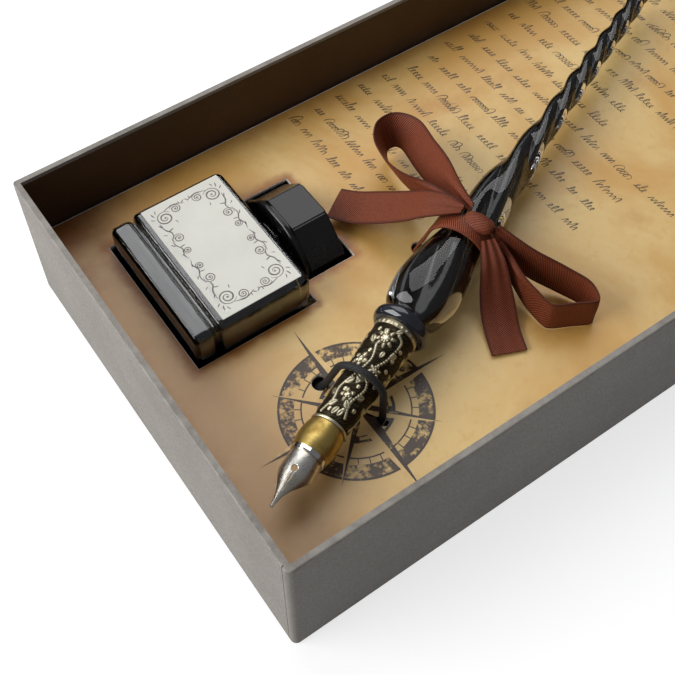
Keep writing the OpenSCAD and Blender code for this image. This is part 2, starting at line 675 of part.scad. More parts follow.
left_loop = [
    [5, 2.8, 17.3, 0.3, 0, 1, 0.35], [5.8, 8.5, 16.2, 0.4, 0, 0.9, 0.55], [7.8, 18, 13.2, 0.5, 0, 0.85, 0.95],
    [10.4, 28, 10.4, 0.5, -0.1, 0.85, 1], [12.6, 37, 8.8, 0.5, -0.1, 0.85, 1],
    [11, 42, 7.6, 0.3, 0.3, 0.9, 1], [7, 42.4, 7, 0, 0.4, 0.9, 1], [3.8, 38.4, 6.8, -0.3, 0.3, 0.9, 1],
    [2, 31, 7.4, -0.4, 0.1, 0.9, 1], [1.6, 23, 9.2, -0.3, 0, 0.95, 0.9], [2.3, 14, 12.8, 0.1, 0, 1, 0.65],
    [3.6, 6.4, 15.6, 0.2, 0, 1, 0.3]
];
right_loop = [
    [6, -5.2, 16.4, 0.1, 0.2, 1, 0.35], [8, -9.5, 12.8, 0.1, 0.1, 1, 0.65],
    [10.8, -14.5, 9, 0.1, 0.1, 1, 0.9], [15, -21, 6.3, 0.1, 0, 1, 1], [17.6, -27.5, 5.6, 0.05, 0, 1, 1],
    [16.9, -32, 5.5, 0, 0, 1, 1], [15.2, -32.9, 5.5, 0, 0, 1, 1], [10.8, -30.6, 5.5, 0, 0, 1, 1],
    [6.8, -28.4, 5.5, 0, 0, 1, 1], [5.6, -26.6, 5.6, 0, 0, 1, 1], [5.4, -22, 6.2, 0, 0, 1, 1],
    [5.3, -16.4, 8, 0, 0, 1, 0.8], [5.4, -11.4, 11, 0.1, 0, 1, 0.5], [5, -7.6, 14, 0.1, 0, 1, 0.3]
];

// A flat ribbon along a list of bow points
function unit(v) = v / norm(v);
function xyz(p) = [p[0], p[1], p[2]];
function wide(p) = [p[3], p[4], p[5]];
function strip_ring(line, i) =
    let (
        p = line[i],
        run = unit(xyz(line[min(i + 1, len(line) - 1)]) - xyz(line[max(i - 1, 0)])),
        w = unit(wide(p) - (wide(p) * run) * run),
        h = ribbon_w * p[6] / 2 * w,
        n = ribbon_t / 2 * cross(run, w)
    )
    [xyz(p) - h - n, xyz(p) - h + n, xyz(p) + h + n, xyz(p) + h - n];
module strip(pts) {
    line = smooth(pts, 3);
    loft([for (i = [0:len(line) - 1]) strip_ring(line, i)]);
}
module bow_piece(pts) color("#6e3726") difference() {
    bow_frame() strip(pts);
    knot_solid(0.15);
}

// The knot: a lump over the pen's near flank, drawn out along the crossing ribbons
module knot_solid(grow) bow_frame() translate(knot_at) rotate([0, 0, -72])
    scale([4.6 + grow, 3.1 + grow, 2.1 + grow]) sphere(r = 1, $fn = 20);
module ribbon_knot() color("#5f2e20") difference() {
    knot_solid(0);
    pen_frame() translate([0, 0, 0]) rotate([0, 90, 0]) cylinder(r = band_r + band_t + 0.05, h = 150);
}
module ribbon_left_tail() bow_piece(left_tail);
module ribbon_front_tail() bow_piece(front_tail);
module ribbon_left_loop() bow_piece(left_loop);
module ribbon_right_loop() bow_piece(right_loop);

board_bottom();
board_front();
board_back();
board_left();
board_right();
corner_stays();
wrap_paper();
wall_lining();
floor_lining();
insert_card();
parchment_print();
elastic_loop();
ribbon_underlay();
bottle_glass();
bottle_ink();
bottle_label();
shrink_film();
cap_liner();
bottle_cap();
glass_handle();
glass_core();
glass_collar();
pen_barrel();
nib_section();
nib_ring();
nib_plug();
steel_nib();
ribbon_band();
ribbon_knot();
ribbon_left_loop();
ribbon_right_loop();
ribbon_left_tail();
ribbon_front_tail();
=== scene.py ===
"""Calligraphy set box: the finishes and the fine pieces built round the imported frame.

An open rigid box with a printed card insert, a square ink bottle lying in its cut-out, and a dip
pen with a twisted glass handle that an elastic loop and a ribbon bow hold on the card. Lengths are
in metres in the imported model's own frame: origin at the centre of the underside, +X along the box,
+Y to its back wall, +Z up.
"""
import sys
import logging
import math
from dataclasses import dataclass, field
from enum import Enum

import bmesh
import bpy
import numpy as np
from mathutils import Matrix, Vector


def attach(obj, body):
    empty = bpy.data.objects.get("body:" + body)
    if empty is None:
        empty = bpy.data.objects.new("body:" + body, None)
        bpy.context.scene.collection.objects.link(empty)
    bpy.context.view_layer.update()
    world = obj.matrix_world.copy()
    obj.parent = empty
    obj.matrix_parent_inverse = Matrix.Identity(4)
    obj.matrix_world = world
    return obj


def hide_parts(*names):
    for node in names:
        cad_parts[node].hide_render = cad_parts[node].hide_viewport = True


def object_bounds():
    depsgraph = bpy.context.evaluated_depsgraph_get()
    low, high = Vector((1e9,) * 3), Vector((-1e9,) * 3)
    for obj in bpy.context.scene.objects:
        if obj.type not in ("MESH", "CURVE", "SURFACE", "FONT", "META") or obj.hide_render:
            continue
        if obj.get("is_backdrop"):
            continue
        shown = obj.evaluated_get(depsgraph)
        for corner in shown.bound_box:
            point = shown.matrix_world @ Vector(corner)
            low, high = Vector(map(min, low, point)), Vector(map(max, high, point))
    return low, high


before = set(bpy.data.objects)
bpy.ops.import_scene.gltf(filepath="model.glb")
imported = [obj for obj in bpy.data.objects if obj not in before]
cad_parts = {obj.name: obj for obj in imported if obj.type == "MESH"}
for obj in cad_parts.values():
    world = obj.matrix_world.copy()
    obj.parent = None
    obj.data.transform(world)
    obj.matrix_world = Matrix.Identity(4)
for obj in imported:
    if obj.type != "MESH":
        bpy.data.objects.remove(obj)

LOG = logging.getLogger("calligraphy_set")
MM = 0.001
CAD_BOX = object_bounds()

Tone = tuple[float, float, float, float]
Points = np.ndarray


def tone(red: int, green: int, blue: int) -> Tone:
    """Gives the linear colour of a tone written as 0 to 255."""
    linear = [
        c / 12.92 if c <= 0.04045 else ((c + 0.055) / 1.055) ** 2.4
        for c in (red / 255, green / 255, blue / 255)
    ]
    return (linear[0], linear[1], linear[2], 1.0)


class Slot(Enum):
    """The record's material slots, named with each new piece but not used."""

    PRINT = "parchment_print"
    ELASTIC = "black_elastic"
    RIBBON = "ribbon"
    BOTTLE = "bottle_glass"
    INK = "ink"
    LABEL = "label_paper"
    FILM = "clear_film"
    CAP = "black_plastic"
    GLASS = "clear_glass"
    CORE = "black_glass"
    BRONZE = "antique_bronze"
    NIB = "nib_steel"


# Node trees


class Graph:
    """One material's node tree, with a Principled shader wired to its output."""

    def __init__(self, name: str) -> None:
        """Makes the material.

        Args:
            name: The material's name.
        """
        self.material = bpy.data.materials.new(name)
        self.material.use_nodes = True
        self.tree = self.material.node_tree
        self.tree.nodes.clear()
        self.output = self.node("ShaderNodeOutputMaterial")
        self.shader = self.node("ShaderNodeBsdfPrincipled")
        self.tree.links.new(self.shader.outputs[0], self.output.inputs["Surface"])

    def node(self, kind: str, **settings: object) -> bpy.types.Node:
        """Adds a node.

        Args:
            kind: The node's type name.
            settings: Its properties.

        Returns:
            The node.
        """
        made = self.tree.nodes.new(kind)
        for key, value in settings.items():
            setattr(made, key, value)
        return made

    def feed(self, target: bpy.types.NodeSocket, value: object) -> None:
        """Links a socket, or sets its own value when the value isn't a socket.

        Args:
            target: The input socket.
            value: An output socket, a number, a colour or a vector.
        """
        if isinstance(value, bpy.types.NodeSocket):
            self.tree.links.new(value, target)
        else:
            target.default_value = value

    def space(
        self,
        kind: str = "Object",
        scale: tuple[float, float, float] = (1, 1, 1),
        turn: tuple[float, float, float] = (0, 0, 0),
        shift: tuple[float, float, float] = (0, 0, 0),
    ) -> bpy.types.NodeSocket:
        """Gives texture coordinates.

        Args:
            kind: Object or UV.
            scale: Scale of the mapping.
            turn: Rotation of the mapping in radians.
            shift: Shift of the mapping.

        Returns:
            The vector socket.
        """
        source = self.node("ShaderNodeTexCoord")
        mapping = self.node("ShaderNodeMapping")
        self.feed(mapping.inputs["Vector"], source.outputs[kind])
        mapping.inputs["Scale"].default_value = scale
        mapping.inputs["Rotation"].default_value = turn
        mapping.inputs["Location"].default_value = shift
        return mapping.outputs[0]

    def axes(self, vector: bpy.types.NodeSocket) -> tuple[bpy.types.NodeSocket, ...]:
        """Splits a vector into its three parts."""
        split = self.node("ShaderNodeSeparateXYZ")
        self.feed(split.inputs[0], vector)
        return tuple(split.outputs[i] for i in range(3))

    def attribute(self, name: str) -> bpy.types.NodeSocket:
        """Reads a mesh attribute as a number."""
        return self.node("ShaderNodeAttribute", attribute_name=name).outputs["Fac"]

    def noise(
        self,
        vector: bpy.types.NodeSocket,
        scale: float,
        detail: float = 3.0,
        roughness: float = 0.55,
        distortion: float = 0.0,
    ) -> bpy.types.NodeSocket:
        """Adds a noise texture.

        Args:
            vector: Coordinates in metres.
            scale: Patches per metre.
            detail: Octaves.
            roughness: Weight of the fine octaves.
            distortion: Swirl.

        Returns:
            The noise value, 0 to 1.
        """
        made = self.node("ShaderNodeTexNoise")
        self.feed(made.inputs["Vector"], vector)
        made.inputs["Scale"].default_value = scale
        made.inputs["Detail"].default_value = detail
        made.inputs["Roughness"].default_value = roughness
        made.inputs["Distortion"].default_value = distortion
        return made.outputs["Fac"]

    def ramp(
        self, value: bpy.types.NodeSocket, stops: list[tuple[float, Tone | float]]
    ) -> bpy.types.NodeSocket:
        """Maps a number to a colour or to a grey level.

        Args:
            value: The number.
            stops: Places and their tones or levels.

        Returns:
            The colour socket.
        """
        made = self.node("ShaderNodeValToRGB")
        self.feed(made.inputs[0], value)
        band = made.color_ramp
        while len(band.elements) < len(stops):
            band.elements.new(0.5)
        for element, (place, colour) in zip(band.elements, stops):
            element.position = place
            element.color = colour if isinstance(colour, tuple) else (colour, colour, colour, 1)
        return made.outputs[0]

    def mix(
        self, share: object, first: object, second: object, blend: str = "MIX"
    ) -> bpy.types.NodeSocket:
        """Mixes two colours.

        Args:
            share: Share of the second colour.
            first: The first colour.
            second: The second colour.
            blend: Blending mode.

        Returns:
            The colour socket.
        """
        made = self.node("ShaderNodeMix", data_type="RGBA", blend_type=blend)
        self.feed(made.inputs[0], share)
        self.feed(made.inputs[6], first)
        self.feed(made.inputs[7], second)
        return made.outputs[2]

    def math(
        self, operation: str, first: object, second: object = 0.0, clamp: bool = False
    ) -> bpy.types.NodeSocket:
        """Adds one sum.

        Args:
            operation: The node's operation.
            first: The first number.
            second: The second number.
            clamp: Whether the result stays between 0 and 1.

        Returns:
            The result.
        """
        made = self.node("ShaderNodeMath", operation=operation, use_clamp=clamp)
        self.feed(made.inputs[0], first)
        self.feed(made.inputs[1], second)
        return made.outputs[0]

    def fade(
        self, value: object, start: float, end: float, low: float = 0.0, high: float = 1.0
    ) -> bpy.types.NodeSocket:
        """Maps a number from one range to another with soft ends.

        Args:
            value: The number.
            start: Value that gives low.
            end: Value that gives high.
            low: Result at the start.
            high: Result at the end.

        Returns:
            The result.
        """
        made = self.node("ShaderNodeMapRange", interpolation_type="SMOOTHSTEP")
        self.feed(made.inputs[0], value)
        for i, number in enumerate((start, end, low, high)):
            made.inputs[i + 1].default_value = number
        return made.outputs[0]

    def bump(
        self, height: bpy.types.NodeSocket, strength: float, depth: float, under: object = None
    ) -> bpy.types.NodeSocket:
        """Adds relief to the shader's normal.

        Args:
            height: The height, 0 to 1.
            strength: Share of the relief.
            depth: Height of the relief in metres.
            under: The normal that it is added to.

        Returns:
            The normal socket.
        """
        made = self.node("ShaderNodeBump")
        self.feed(made.inputs["Height"], height)
        made.inputs["Strength"].default_value = strength
        made.inputs["Distance"].default_value = depth
        if under is not None:
            self.feed(made.inputs["Normal"], under)
        return made.outputs[0]

    def dress(self, **sockets: object) -> bpy.types.Material:
        """Sets or links the Principled shader's inputs.

        Args:
            sockets: Input names with underscores for spaces.

        Returns:
            The finished material.
        """
        for key, value in sockets.items():
            self.feed(self.shader.inputs[key.replace("_", " ")], value)
        return self.material


# Finishes


@dataclass(frozen=True)
class Grained:
    """A plain material whose colour drifts and whose grain catches the light."""

    name: str
    low: Tone
    high: Tone
    drift: float = 60.0
    grain: float = 2500.0
    depth: float = 0.00003
    smooth: float = 0.5
    rough: float = 0.65
    coat: float = 0.0
    stretch: tuple[float, float, float] = (1, 1, 1)
    metallic: float = 0.0

    def make(self) -> bpy.types.Material:
        """Builds the material."""
        g = Graph(self.name)
        place = g.space()
        drawn = g.space(scale=self.stretch)
        colour = g.mix(g.fade(g.noise(place, self.drift, 4.0), 0.3, 0.7), self.low, self.high)
        grain = g.noise(drawn, self.grain, 2.0)
        return g.dress(
            Base_Color=colour,
            Roughness=g.fade(grain, 0.3, 0.7, self.smooth, self.rough),
            Normal=g.bump(grain, 0.6, self.depth),
            Coat_Weight=self.coat,
            Coat_Roughness=0.12,
            Metallic=self.metallic,
        )


@dataclass(frozen=True)
class CoverPaper:
    """Taupe embossed paper: a fine grain, paler in patches along the rim from rubbed wear and a painted
    highlight, with its lap by the corner.
    """

    name: str = "cover_paper"
    low: Tone = tone(128, 122, 115)
    high: Tone = tone(144, 138, 131)
    # pale rim tone: rubbed wear together with a painted highlight
    worn: Tone = tone(152, 147, 140)
    rim_z: float = 0.042
    lap_x: float = -0.1236
    lap_y: float = -0.0603

    def make(self) -> bpy.types.Material:
        """Builds the material."""
        g = Graph(self.name)
        place = g.space()
        x, y, z = g.axes(place)
        colour = g.mix(g.fade(g.noise(place, 28.0, 4.0), 0.3, 0.7), self.low, self.high)
        grain = g.noise(place, 1900.0, 2.0, 0.5)
        colour = g.mix(g.fade(grain, 0.35, 0.65, 0.0, 0.22), colour, tone(96, 90, 83))
        # rubbed wear and painted highlight: paler in patches along the top of the rim
        rim = g.fade(z, self.rim_z - 0.0012, self.rim_z - 0.0002)
        wear_and_sheen = g.fade(g.noise(g.space(scale=(1, 1, 4)), 260.0, 3.0), 0.35, 0.75)
        colour = g.mix(g.math("MULTIPLY", rim, wear_and_sheen), colour, self.worn)
        end = g.math("LESS_THAN", x, self.lap_x)
        lap = g.math("MULTIPLY", end, g.fade(g.math("ABSOLUTE", g.math("SUBTRACT", y, self.lap_y)),
                                             0.0, 0.0003, 1.0, 0.0))
        colour = g.mix(g.math("MULTIPLY", lap, 0.9), colour, tone(48, 44, 40))
        step = g.math("MULTIPLY", end, g.fade(y, self.lap_y - 0.0001, self.lap_y + 0.0001))
        shaped = g.bump(step, 0.8, 0.00018)
        return g.dress(
            Base_Color=colour,
            Roughness=g.fade(grain, 0.3, 0.7, 0.52, 0.68),
            Normal=g.bump(grain, 0.45, 0.00005, shaped),
        )


@dataclass(frozen=True)
class Parchment:
    """Glossy print of old parchment: mottled, with scorched edges at the walls, a painted glare along the
    left wall and a painted brown shadow round the cut-out.
    """

    name: str = "parchment_print"
    pale: Tone = tone(228, 194, 126)
    gold: Tone = tone(211, 161, 82)
    tan: Tone = tone(190, 133, 62)
    scorch: Tone = tone(126, 72, 26)
    half_x: float = 0.1210
    half_y: float = 0.0595
    cut_low: tuple[float, float] = (-0.1093, -0.0002)
    cut_high: tuple[float, float] = (-0.0747, 0.0450)
    slot_high_x: float = -0.0585
    slot_y: float = 0.0224
    slot_half: float = 0.0159

    def _box_gap(
        self, g: Graph, x: object, y: object, low: tuple[float, float], high: tuple[float, float]
    ) -> bpy.types.NodeSocket:
        """Distance in plan from a rectangle.

        Args:
            g: The graph.
            x: Place along the box.
            y: Place across the box.
            low: Lowest corner.
            high: Highest corner.

        Returns:
            The distance, 0 inside.
        """
        gaps = []
        for value, a, b in ((x, low[0], high[0]), (y, low[1], high[1])):
            off = g.math("ABSOLUTE", g.math("SUBTRACT", value, (a + b) / 2))
            gaps.append(g.math("MAXIMUM", g.math("SUBTRACT", off, (b - a) / 2), 0.0))
        square = [g.math("MULTIPLY", gap, gap) for gap in gaps]
        return g.math("SQRT", g.math("ADD", square[0], square[1]))

    def colour(self, g: Graph) -> bpy.types.NodeSocket:
        """Gives the parchment's colour, painted glare and painted shadow included, for the print and for
        what is printed on it.

        Args:
            g: The graph that it is added to.

        Returns:
            The colour socket.
        """
        place = g.space()
        x, y, _ = g.axes(place)
        cloud = g.noise(place, 17.0, 5.0, 0.6, 0.6)
        colour = g.mix(g.fade(cloud, 0.36, 0.62), self.pale, self.gold)
        patch = g.fade(g.noise(place, 46.0, 5.0, 0.62), 0.52, 0.78, 0.0, 0.55)
        colour = g.mix(patch, colour, self.tan)
        fleck = g.fade(g.noise(place, 420.0, 4.0, 0.6), 0.5, 0.75, 0.0, 0.35)
        colour = g.mix(fleck, colour, self.gold)
        # painted glare: the print paler and pinker towards the left wall, fading out 46 mm from it
        warm = g.fade(x, -0.121, -0.075, 0.75, 0.0)
        colour = g.mix(warm, colour, tone(203, 162, 120))
        wall = g.math(
            "MINIMUM",
            g.math("SUBTRACT", self.half_x, g.math("ABSOLUTE", x)),
            g.math("SUBTRACT", self.half_y, g.math("ABSOLUTE", y)),
        )
        ragged = g.math("MULTIPLY", g.math("SUBTRACT", g.noise(place, 75.0, 4.0), 0.5), 0.016)
        edge = g.fade(g.math("ADD", wall, ragged), -0.002, 0.008, 0.5, 0.0)
        colour = g.mix(edge, colour, tone(168, 108, 44))
        away = g.math("ADD", g.math("ADD", x, self.half_x), g.math("SUBTRACT", self.half_y, y))
        corner = g.fade(g.math("ADD", away, g.math("MULTIPLY", ragged, 2.0)), 0.004, 0.034, 0.92, 0.0)
        colour = g.mix(corner, colour, self.scorch)
        # painted brown shadow round the bottle's cut-out and the cap's slot, with a ragged soft edge
        body = self._box_gap(g, x, y, self.cut_low, self.cut_high)
        slot = self._box_gap(
            g, x, y, (self.cut_high[0] - 0.004, self.slot_y - self.slot_half),
            (self.slot_high_x, self.slot_y + self.slot_half),
        )
        rough = g.math("MULTIPLY", g.math("SUBTRACT", g.noise(place, 120.0, 3.0), 0.5), 0.006)
        near = g.math("ADD", g.math("MINIMUM", body, slot), rough)
        cutout_shade = g.fade(near, 0.0, 0.0036, 0.9, 0.0)
        return g.mix(cutout_shade, colour, tone(160, 94, 28))

    def make(self) -> bpy.types.Material:
        """Builds the material."""
        g = Graph(self.name)
        place = g.space()
        fibre = g.noise(place, 900.0, 3.0)
        return g.dress(
            Base_Color=self.colour(g),
            Roughness=g.fade(fibre, 0.3, 0.7, 0.30, 0.42),
            Normal=g.bump(g.noise(place, 30.0, 2.0), 0.35, 0.0003, g.bump(fibre, 0.3, 0.00002)),
        )


@dataclass(frozen=True)
class PrintedInk:
    """Ink printed on the parchment: full and dry-brushed, so that the parchment shows through."""

    name: str
    ink: Tone
    cover: float
    streak: tuple[float, float, float] = (1, 1, 1)

    def make(self, ground: Parchment) -> bpy.types.Material:
        """Builds the material.

        Args:
            ground: The parchment that shows where the ink is thin.

        Returns:
            The material.
        """
        g = Graph(self.name)
        place = g.space(scale=self.streak)
        brush = g.noise(place, 700.0, 4.0, 0.65)
        broad = g.noise(g.space(), 130.0, 3.0, 0.5)
        cover = g.fade(g.math("ADD", brush, g.math("MULTIPLY", broad, 0.9)),
                       0.88 + 0.42 * self.cover, 0.66 + 0.42 * self.cover)
        return g.dress(
            Base_Color=g.mix(cover, ground.colour(g), self.ink),
            Roughness=g.fade(brush, 0.3, 0.7, 0.32, 0.46),
        )


@dataclass(frozen=True)
class BottleGlass:
    """Thick clear glass, slightly grey, with a faint waviness from the mould."""

    name: str = "bottle_glass"
    tint: Tone = tone(196, 200, 198)

    def make(self) -> bpy.types.Material:
        """Builds the material."""
        g = Graph(self.name)
        place = g.space()
        swell = g.noise(place, 60.0, 2.0)
        return g.dress(
            Base_Color=g.mix(g.fade(swell, 0.3, 0.7), self.tint, tone(182, 184, 180)),
            Roughness=g.fade(g.noise(place, 300.0), 0.3, 0.7, 0.015, 0.05),
            IOR=1.5,
            Transmission_Weight=1.0,
            Normal=g.bump(swell, 0.25, 0.0006),
        )


@dataclass(frozen=True)
class HandleGlass:
    """Lampworked clear glass, with faint draw lines."""

    name: str = "clear_glass"

    def make(self) -> bpy.types.Material:
        """Builds the material."""
        g = Graph(self.name)
        place = g.space()
        swell = g.noise(place, 110.0, 2.0)
        return g.dress(
            Base_Color=g.mix(g.fade(swell, 0.3, 0.7), tone(246, 247, 248), tone(236, 238, 240)),
            Roughness=g.fade(g.noise(place, 200.0), 0.3, 0.7, 0.0, 0.02),
            IOR=1.48,
            Transmission_Weight=1.0,
            Normal=g.bump(swell, 0.12, 0.0004),
        )


@dataclass(frozen=True)
class Film:
    """Clear shrink film: hardly there, but its creases catch the light."""

    name: str = "clear_film"

    def make(self) -> bpy.types.Material:
        """Builds the material."""
        g = Graph(self.name)
        place = g.space()
        crease = g.noise(g.space(scale=(1, 0.45, 1)), 260.0, 4.0, 0.6, 1.2)
        return g.dress(
            Base_Color=g.mix(g.fade(crease, 0.3, 0.7), tone(250, 250, 250), tone(240, 242, 244)),
            Roughness=g.fade(crease, 0.3, 0.7, 0.04, 0.16),
            IOR=1.04,
            Transmission_Weight=1.0,
            Coat_Weight=1.0,
            Coat_Roughness=0.05,
            Normal=g.bump(g.noise(place, 90.0, 3.0, 0.6, 0.8), 0.35, 0.0005),
        )


@dataclass(frozen=True)
class Bronze:
    """Cast bronze, black in its hollows and rubbed bright on its tops."""

    name: str = "antique_bronze"
    pit: Tone = tone(46, 40, 30)
    body: Tone = tone(158, 146, 118)
    top: Tone = tone(222, 214, 186)

    def make(self) -> bpy.types.Material:
        """Builds the material."""
        g = Graph(self.name)
        place = g.space()
        height = g.attribute("relief")
        stain = g.noise(place, 500.0, 3.0)
        worn = g.math("ADD", height, g.math("MULTIPLY", g.math("SUBTRACT", stain, 0.5), 0.25))
        colour = g.ramp(worn, [(0.0, self.pit), (0.10, self.pit), (0.34, self.body), (0.8, self.top)])
        return g.dress(
            Base_Color=colour,
            Metallic=1.0,
            Roughness=g.fade(worn, 0.1, 0.8, 0.6, 0.34),
            Normal=g.bump(g.noise(place, 2600.0, 2.0), 0.35, 0.00003),
        )


@dataclass(frozen=True)
class TurnedMetal:
    """Turned metal with fine rings and patches of tarnish."""

    name: str
    bright: Tone
    dull: Tone
    smooth: float
    rough: float
    tarnish: float = 0.5

    def make(self) -> bpy.types.Material:
        """Builds the material."""
        g = Graph(self.name)
        place = g.space()
        cloud = g.noise(place, 240.0, 4.0, 0.6)
        colour = g.mix(g.fade(cloud, 0.62 - 0.3 * self.tarnish, 0.72), self.bright, self.dull)
        ring = g.noise(g.space(scale=(3, 1, 1), turn=(0, 0, -0.394)), 900.0, 2.0)
        return g.dress(
            Base_Color=colour,
            Metallic=1.0,
            Roughness=g.fade(cloud, 0.3, 0.7, self.smooth, self.rough),
            Normal=g.bump(ring, 0.15, 0.00002),
        )


@dataclass(frozen=True)
class RibbonWeave:
    """Reddish-brown taffeta: fine crossing ribs, a firm selvedge on each side, a soft sheen, with painted
    shade between the threads and painted highlights on their crests.
    """

    name: str = "ribbon"
    # lit and shaded tones of one red-brown: painted highlight for the thread crests, painted shade for the
    # grooves
    light: Tone = tone(148, 72, 40)
    dark: Tone = tone(56, 17, 5)
    rib: float = 0.00052

    def make(self) -> bpy.types.Material:
        """Builds the material. The UV map is in metres, u across the ribbon and v along it."""
        g = Graph(self.name)
        cloth = g.space("UV")
        u, v, _ = g.axes(cloth)
        turns = 2 * math.pi / self.rib
        slant = g.math("ADD", g.math("MULTIPLY", u, turns * 0.55), g.math("MULTIPLY", v, turns))
        weft = g.math("ADD", g.math("MULTIPLY", g.math("SINE", slant), 0.5), 0.5)
        warp_turns = g.math("MULTIPLY", u, 2 * math.pi / 0.00042)
        warp = g.math("ADD", g.math("MULTIPLY", g.math("SINE", warp_turns), 0.5), 0.5)
        thread = g.math("MULTIPLY", weft, g.math("ADD", g.math("MULTIPLY", warp, 0.5), 0.5))
        slub = g.noise(cloth, 1400.0, 3.0)
        # colour follows thread height and yarn slub: painted shade in the grooves, painted highlight on the
        # crests
        level = g.math("ADD", g.math("MULTIPLY", thread, 0.75), g.math("MULTIPLY", slub, 0.4))
        colour = g.mix(g.fade(level, 0.22, 0.72), self.dark, self.light)
        edge = g.fade(g.math("ABSOLUTE", u), 0.0041, 0.0047)
        colour = g.mix(g.math("MULTIPLY", edge, 0.6), colour, tone(52, 15, 5))
        return g.dress(
            Base_Color=colour,
            Roughness=g.fade(thread, 0.0, 1.0, 0.72, 0.46),
            Sheen_Weight=0.12,
            Sheen_Roughness=0.35,
            Sheen_Tint=tone(206, 118, 76),
            Specular_IOR_Level=0.35,
            Normal=g.bump(g.math("ADD", thread, edge), 0.9, 0.00007),
        )


@dataclass(frozen=True)
class Braid:
    """Round braided elastic: crossing black strands, with painted highlights on their crests and painted
    shade between them. The UV map is in metres.
    """

    name: str = "black_elastic"

    def make(self) -> bpy.types.Material:
        """Builds the material."""
        g = Graph(self.name)
        u, v, _ = g.axes(g.space("UV"))
        strands = []
        for side in (1, -1):
            turned = g.math("ADD", g.math("MULTIPLY", u, side * 2 * math.pi / 0.00066),
                            g.math("MULTIPLY", v, 2 * math.pi / 0.0009))
            strands.append(g.math("ADD", g.math("MULTIPLY", g.math("SINE", turned), 0.5), 0.5))
        weave = g.math("MAXIMUM", strands[0], strands[1])
        # paler on the strands' crests, darker between them: painted highlight and painted shade
        colour = g.mix(g.fade(weave, 0.4, 1.0), tone(5, 5, 6), tone(24, 24, 26))
        return g.dress(
            Base_Color=colour,
            Roughness=g.fade(weave, 0.4, 1.0, 0.75, 0.5),
            Sheen_Weight=0.06,
            Normal=g.bump(weave, 1.0, 0.00012),
        )


@dataclass(frozen=True)
class NibSteel:
    """Bright steel with brushed lines along the nib and a faint warm tarnish."""

    name: str = "nib_steel"

    def make(self) -> bpy.types.Material:
        """Builds the material."""
        g = Graph(self.name)
        place = g.space()
        cloud = g.noise(place, 260.0, 3.0)
        line = g.noise(g.space(scale=(0.12, 1, 1), turn=(0, 0, -0.394)), 3200.0, 2.0)
        return g.dress(
            Base_Color=g.mix(g.fade(cloud, 0.4, 0.75), tone(222, 219, 212), tone(204, 194, 172)),
            Metallic=1.0,
            Roughness=g.fade(line, 0.3, 0.7, 0.26, 0.40),
            Normal=g.bump(line, 0.12, 0.00002),
        )


# Mesh helpers


def smoothed(points: list[list[float]], steps: int) -> Points:
    """Runs a Catmull-Rom curve through points of any width.

    Args:
        points: The points.
        steps: Steps from each point to the next.

    Returns:
        The smoothed points, the last one included.
    """
    p = np.array(points, float)
    out = []
    for i in range(len(p) - 1):
        p0, p1 = p[max(i - 1, 0)], p[i]
        p2, p3 = p[i + 1], p[min(i + 2, len(p) - 1)]
        for k in range(steps):
            t = k / steps
            out.append(0.5 * (2 * p1 + (p2 - p0) * t + (2 * p0 - 5 * p1 + 4 * p2 - p3) * t * t
                              + (3 * p1 - p0 - 3 * p2 + p3) * t ** 3))
    out.append(p[-1])
    return np.array(out)


def mesh_piece(
    name: str,
    points: Points,
    faces: list[tuple[int, ...]],
    material: bpy.types.Material,
    smooth: bool = True,
    uv: Points | None = None,
) -> bpy.types.Object:
    """Makes an object from points and faces.

    Args:
        name: The piece's name.
        points: The points in metres.
        faces: The faces.
        material: Its material.
        smooth: Whether it is shaded smooth.
        uv: One UV pair for each face corner.

    Returns:
        The object.
    """
    mesh = bpy.data.meshes.new(name)
    mesh.from_pydata([tuple(map(float, p)) for p in points], [], faces)
    mesh.materials.append(material)
    mesh.polygons.foreach_set("use_smooth", [smooth] * len(mesh.polygons))
    if uv is not None:
        mesh.uv_layers.new(name="cloth").data.foreach_set("uv", np.asarray(uv, float).ravel())
    mesh.update()
    piece = bpy.data.objects.new(name, mesh)
    bpy.context.scene.collection.objects.link(piece)
    return piece


def loft_faces(
    rows: int, count: int, start: int = 0, capped: bool = True
) -> list[tuple[int, ...]]:
    """Faces of a closed tube of rings.

    Args:
        rows: Number of rings.
        count: Points in a ring.
        start: Number of the first point.
        capped: Whether both ends are closed.

    Returns:
        The faces, with the end caps last.
    """
    faces = []
    for i in range(rows - 1):
        for j in range(count):
            k = (j + 1) % count
            a, b = start + i * count, start + (i + 1) * count
            faces.append((a + j, a + k, b + k, b + j))
    if capped:
        faces.append(tuple(start + j for j in reversed(range(count))))
        last = start + (rows - 1) * count
        faces.append(tuple(last + j for j in range(count)))
    return faces


def rim_walk(rows: int, cols: int) -> list[tuple[int, int]]:
    """Walks once round the rim of a grid of points.

    Args:
        rows: Rows of the grid.
        cols: Columns of the grid.

    Returns:
        Row and column of each point on the rim.
    """
    walk = [(i, 0) for i in range(rows)] + [(rows - 1, j) for j in range(1, cols)]
    walk += [(i, cols - 1) for i in range(rows - 2, -1, -1)]
    return walk + [(0, j) for j in range(cols - 2, 0, -1)]


def outward(piece: bpy.types.Object) -> bpy.types.Object:
    """Turns a closed piece's faces outward.

    Args:
        piece: The piece.

    Returns:
        The same piece.
    """
    work = bmesh.new()
    work.from_mesh(piece.data)
    bmesh.ops.recalc_face_normals(work, faces=work.faces)
    work.to_mesh(piece.data)
    work.free()
    return piece


def loft(
    name: str, rings: Points, material: bpy.types.Material, smooth: bool = True
) -> bpy.types.Object:
    """Makes a closed piece through rings of points.

    Args:
        name: The piece's name.
        rings: Rings, points and coordinates.
        material: Its material.
        smooth: Whether it is shaded smooth.

    Returns:
        The object.
    """
    rows, count = rings.shape[:2]
    piece = mesh_piece(name, rings.reshape(-1, 3), loft_faces(rows, count), material, smooth)
    return outward(piece)


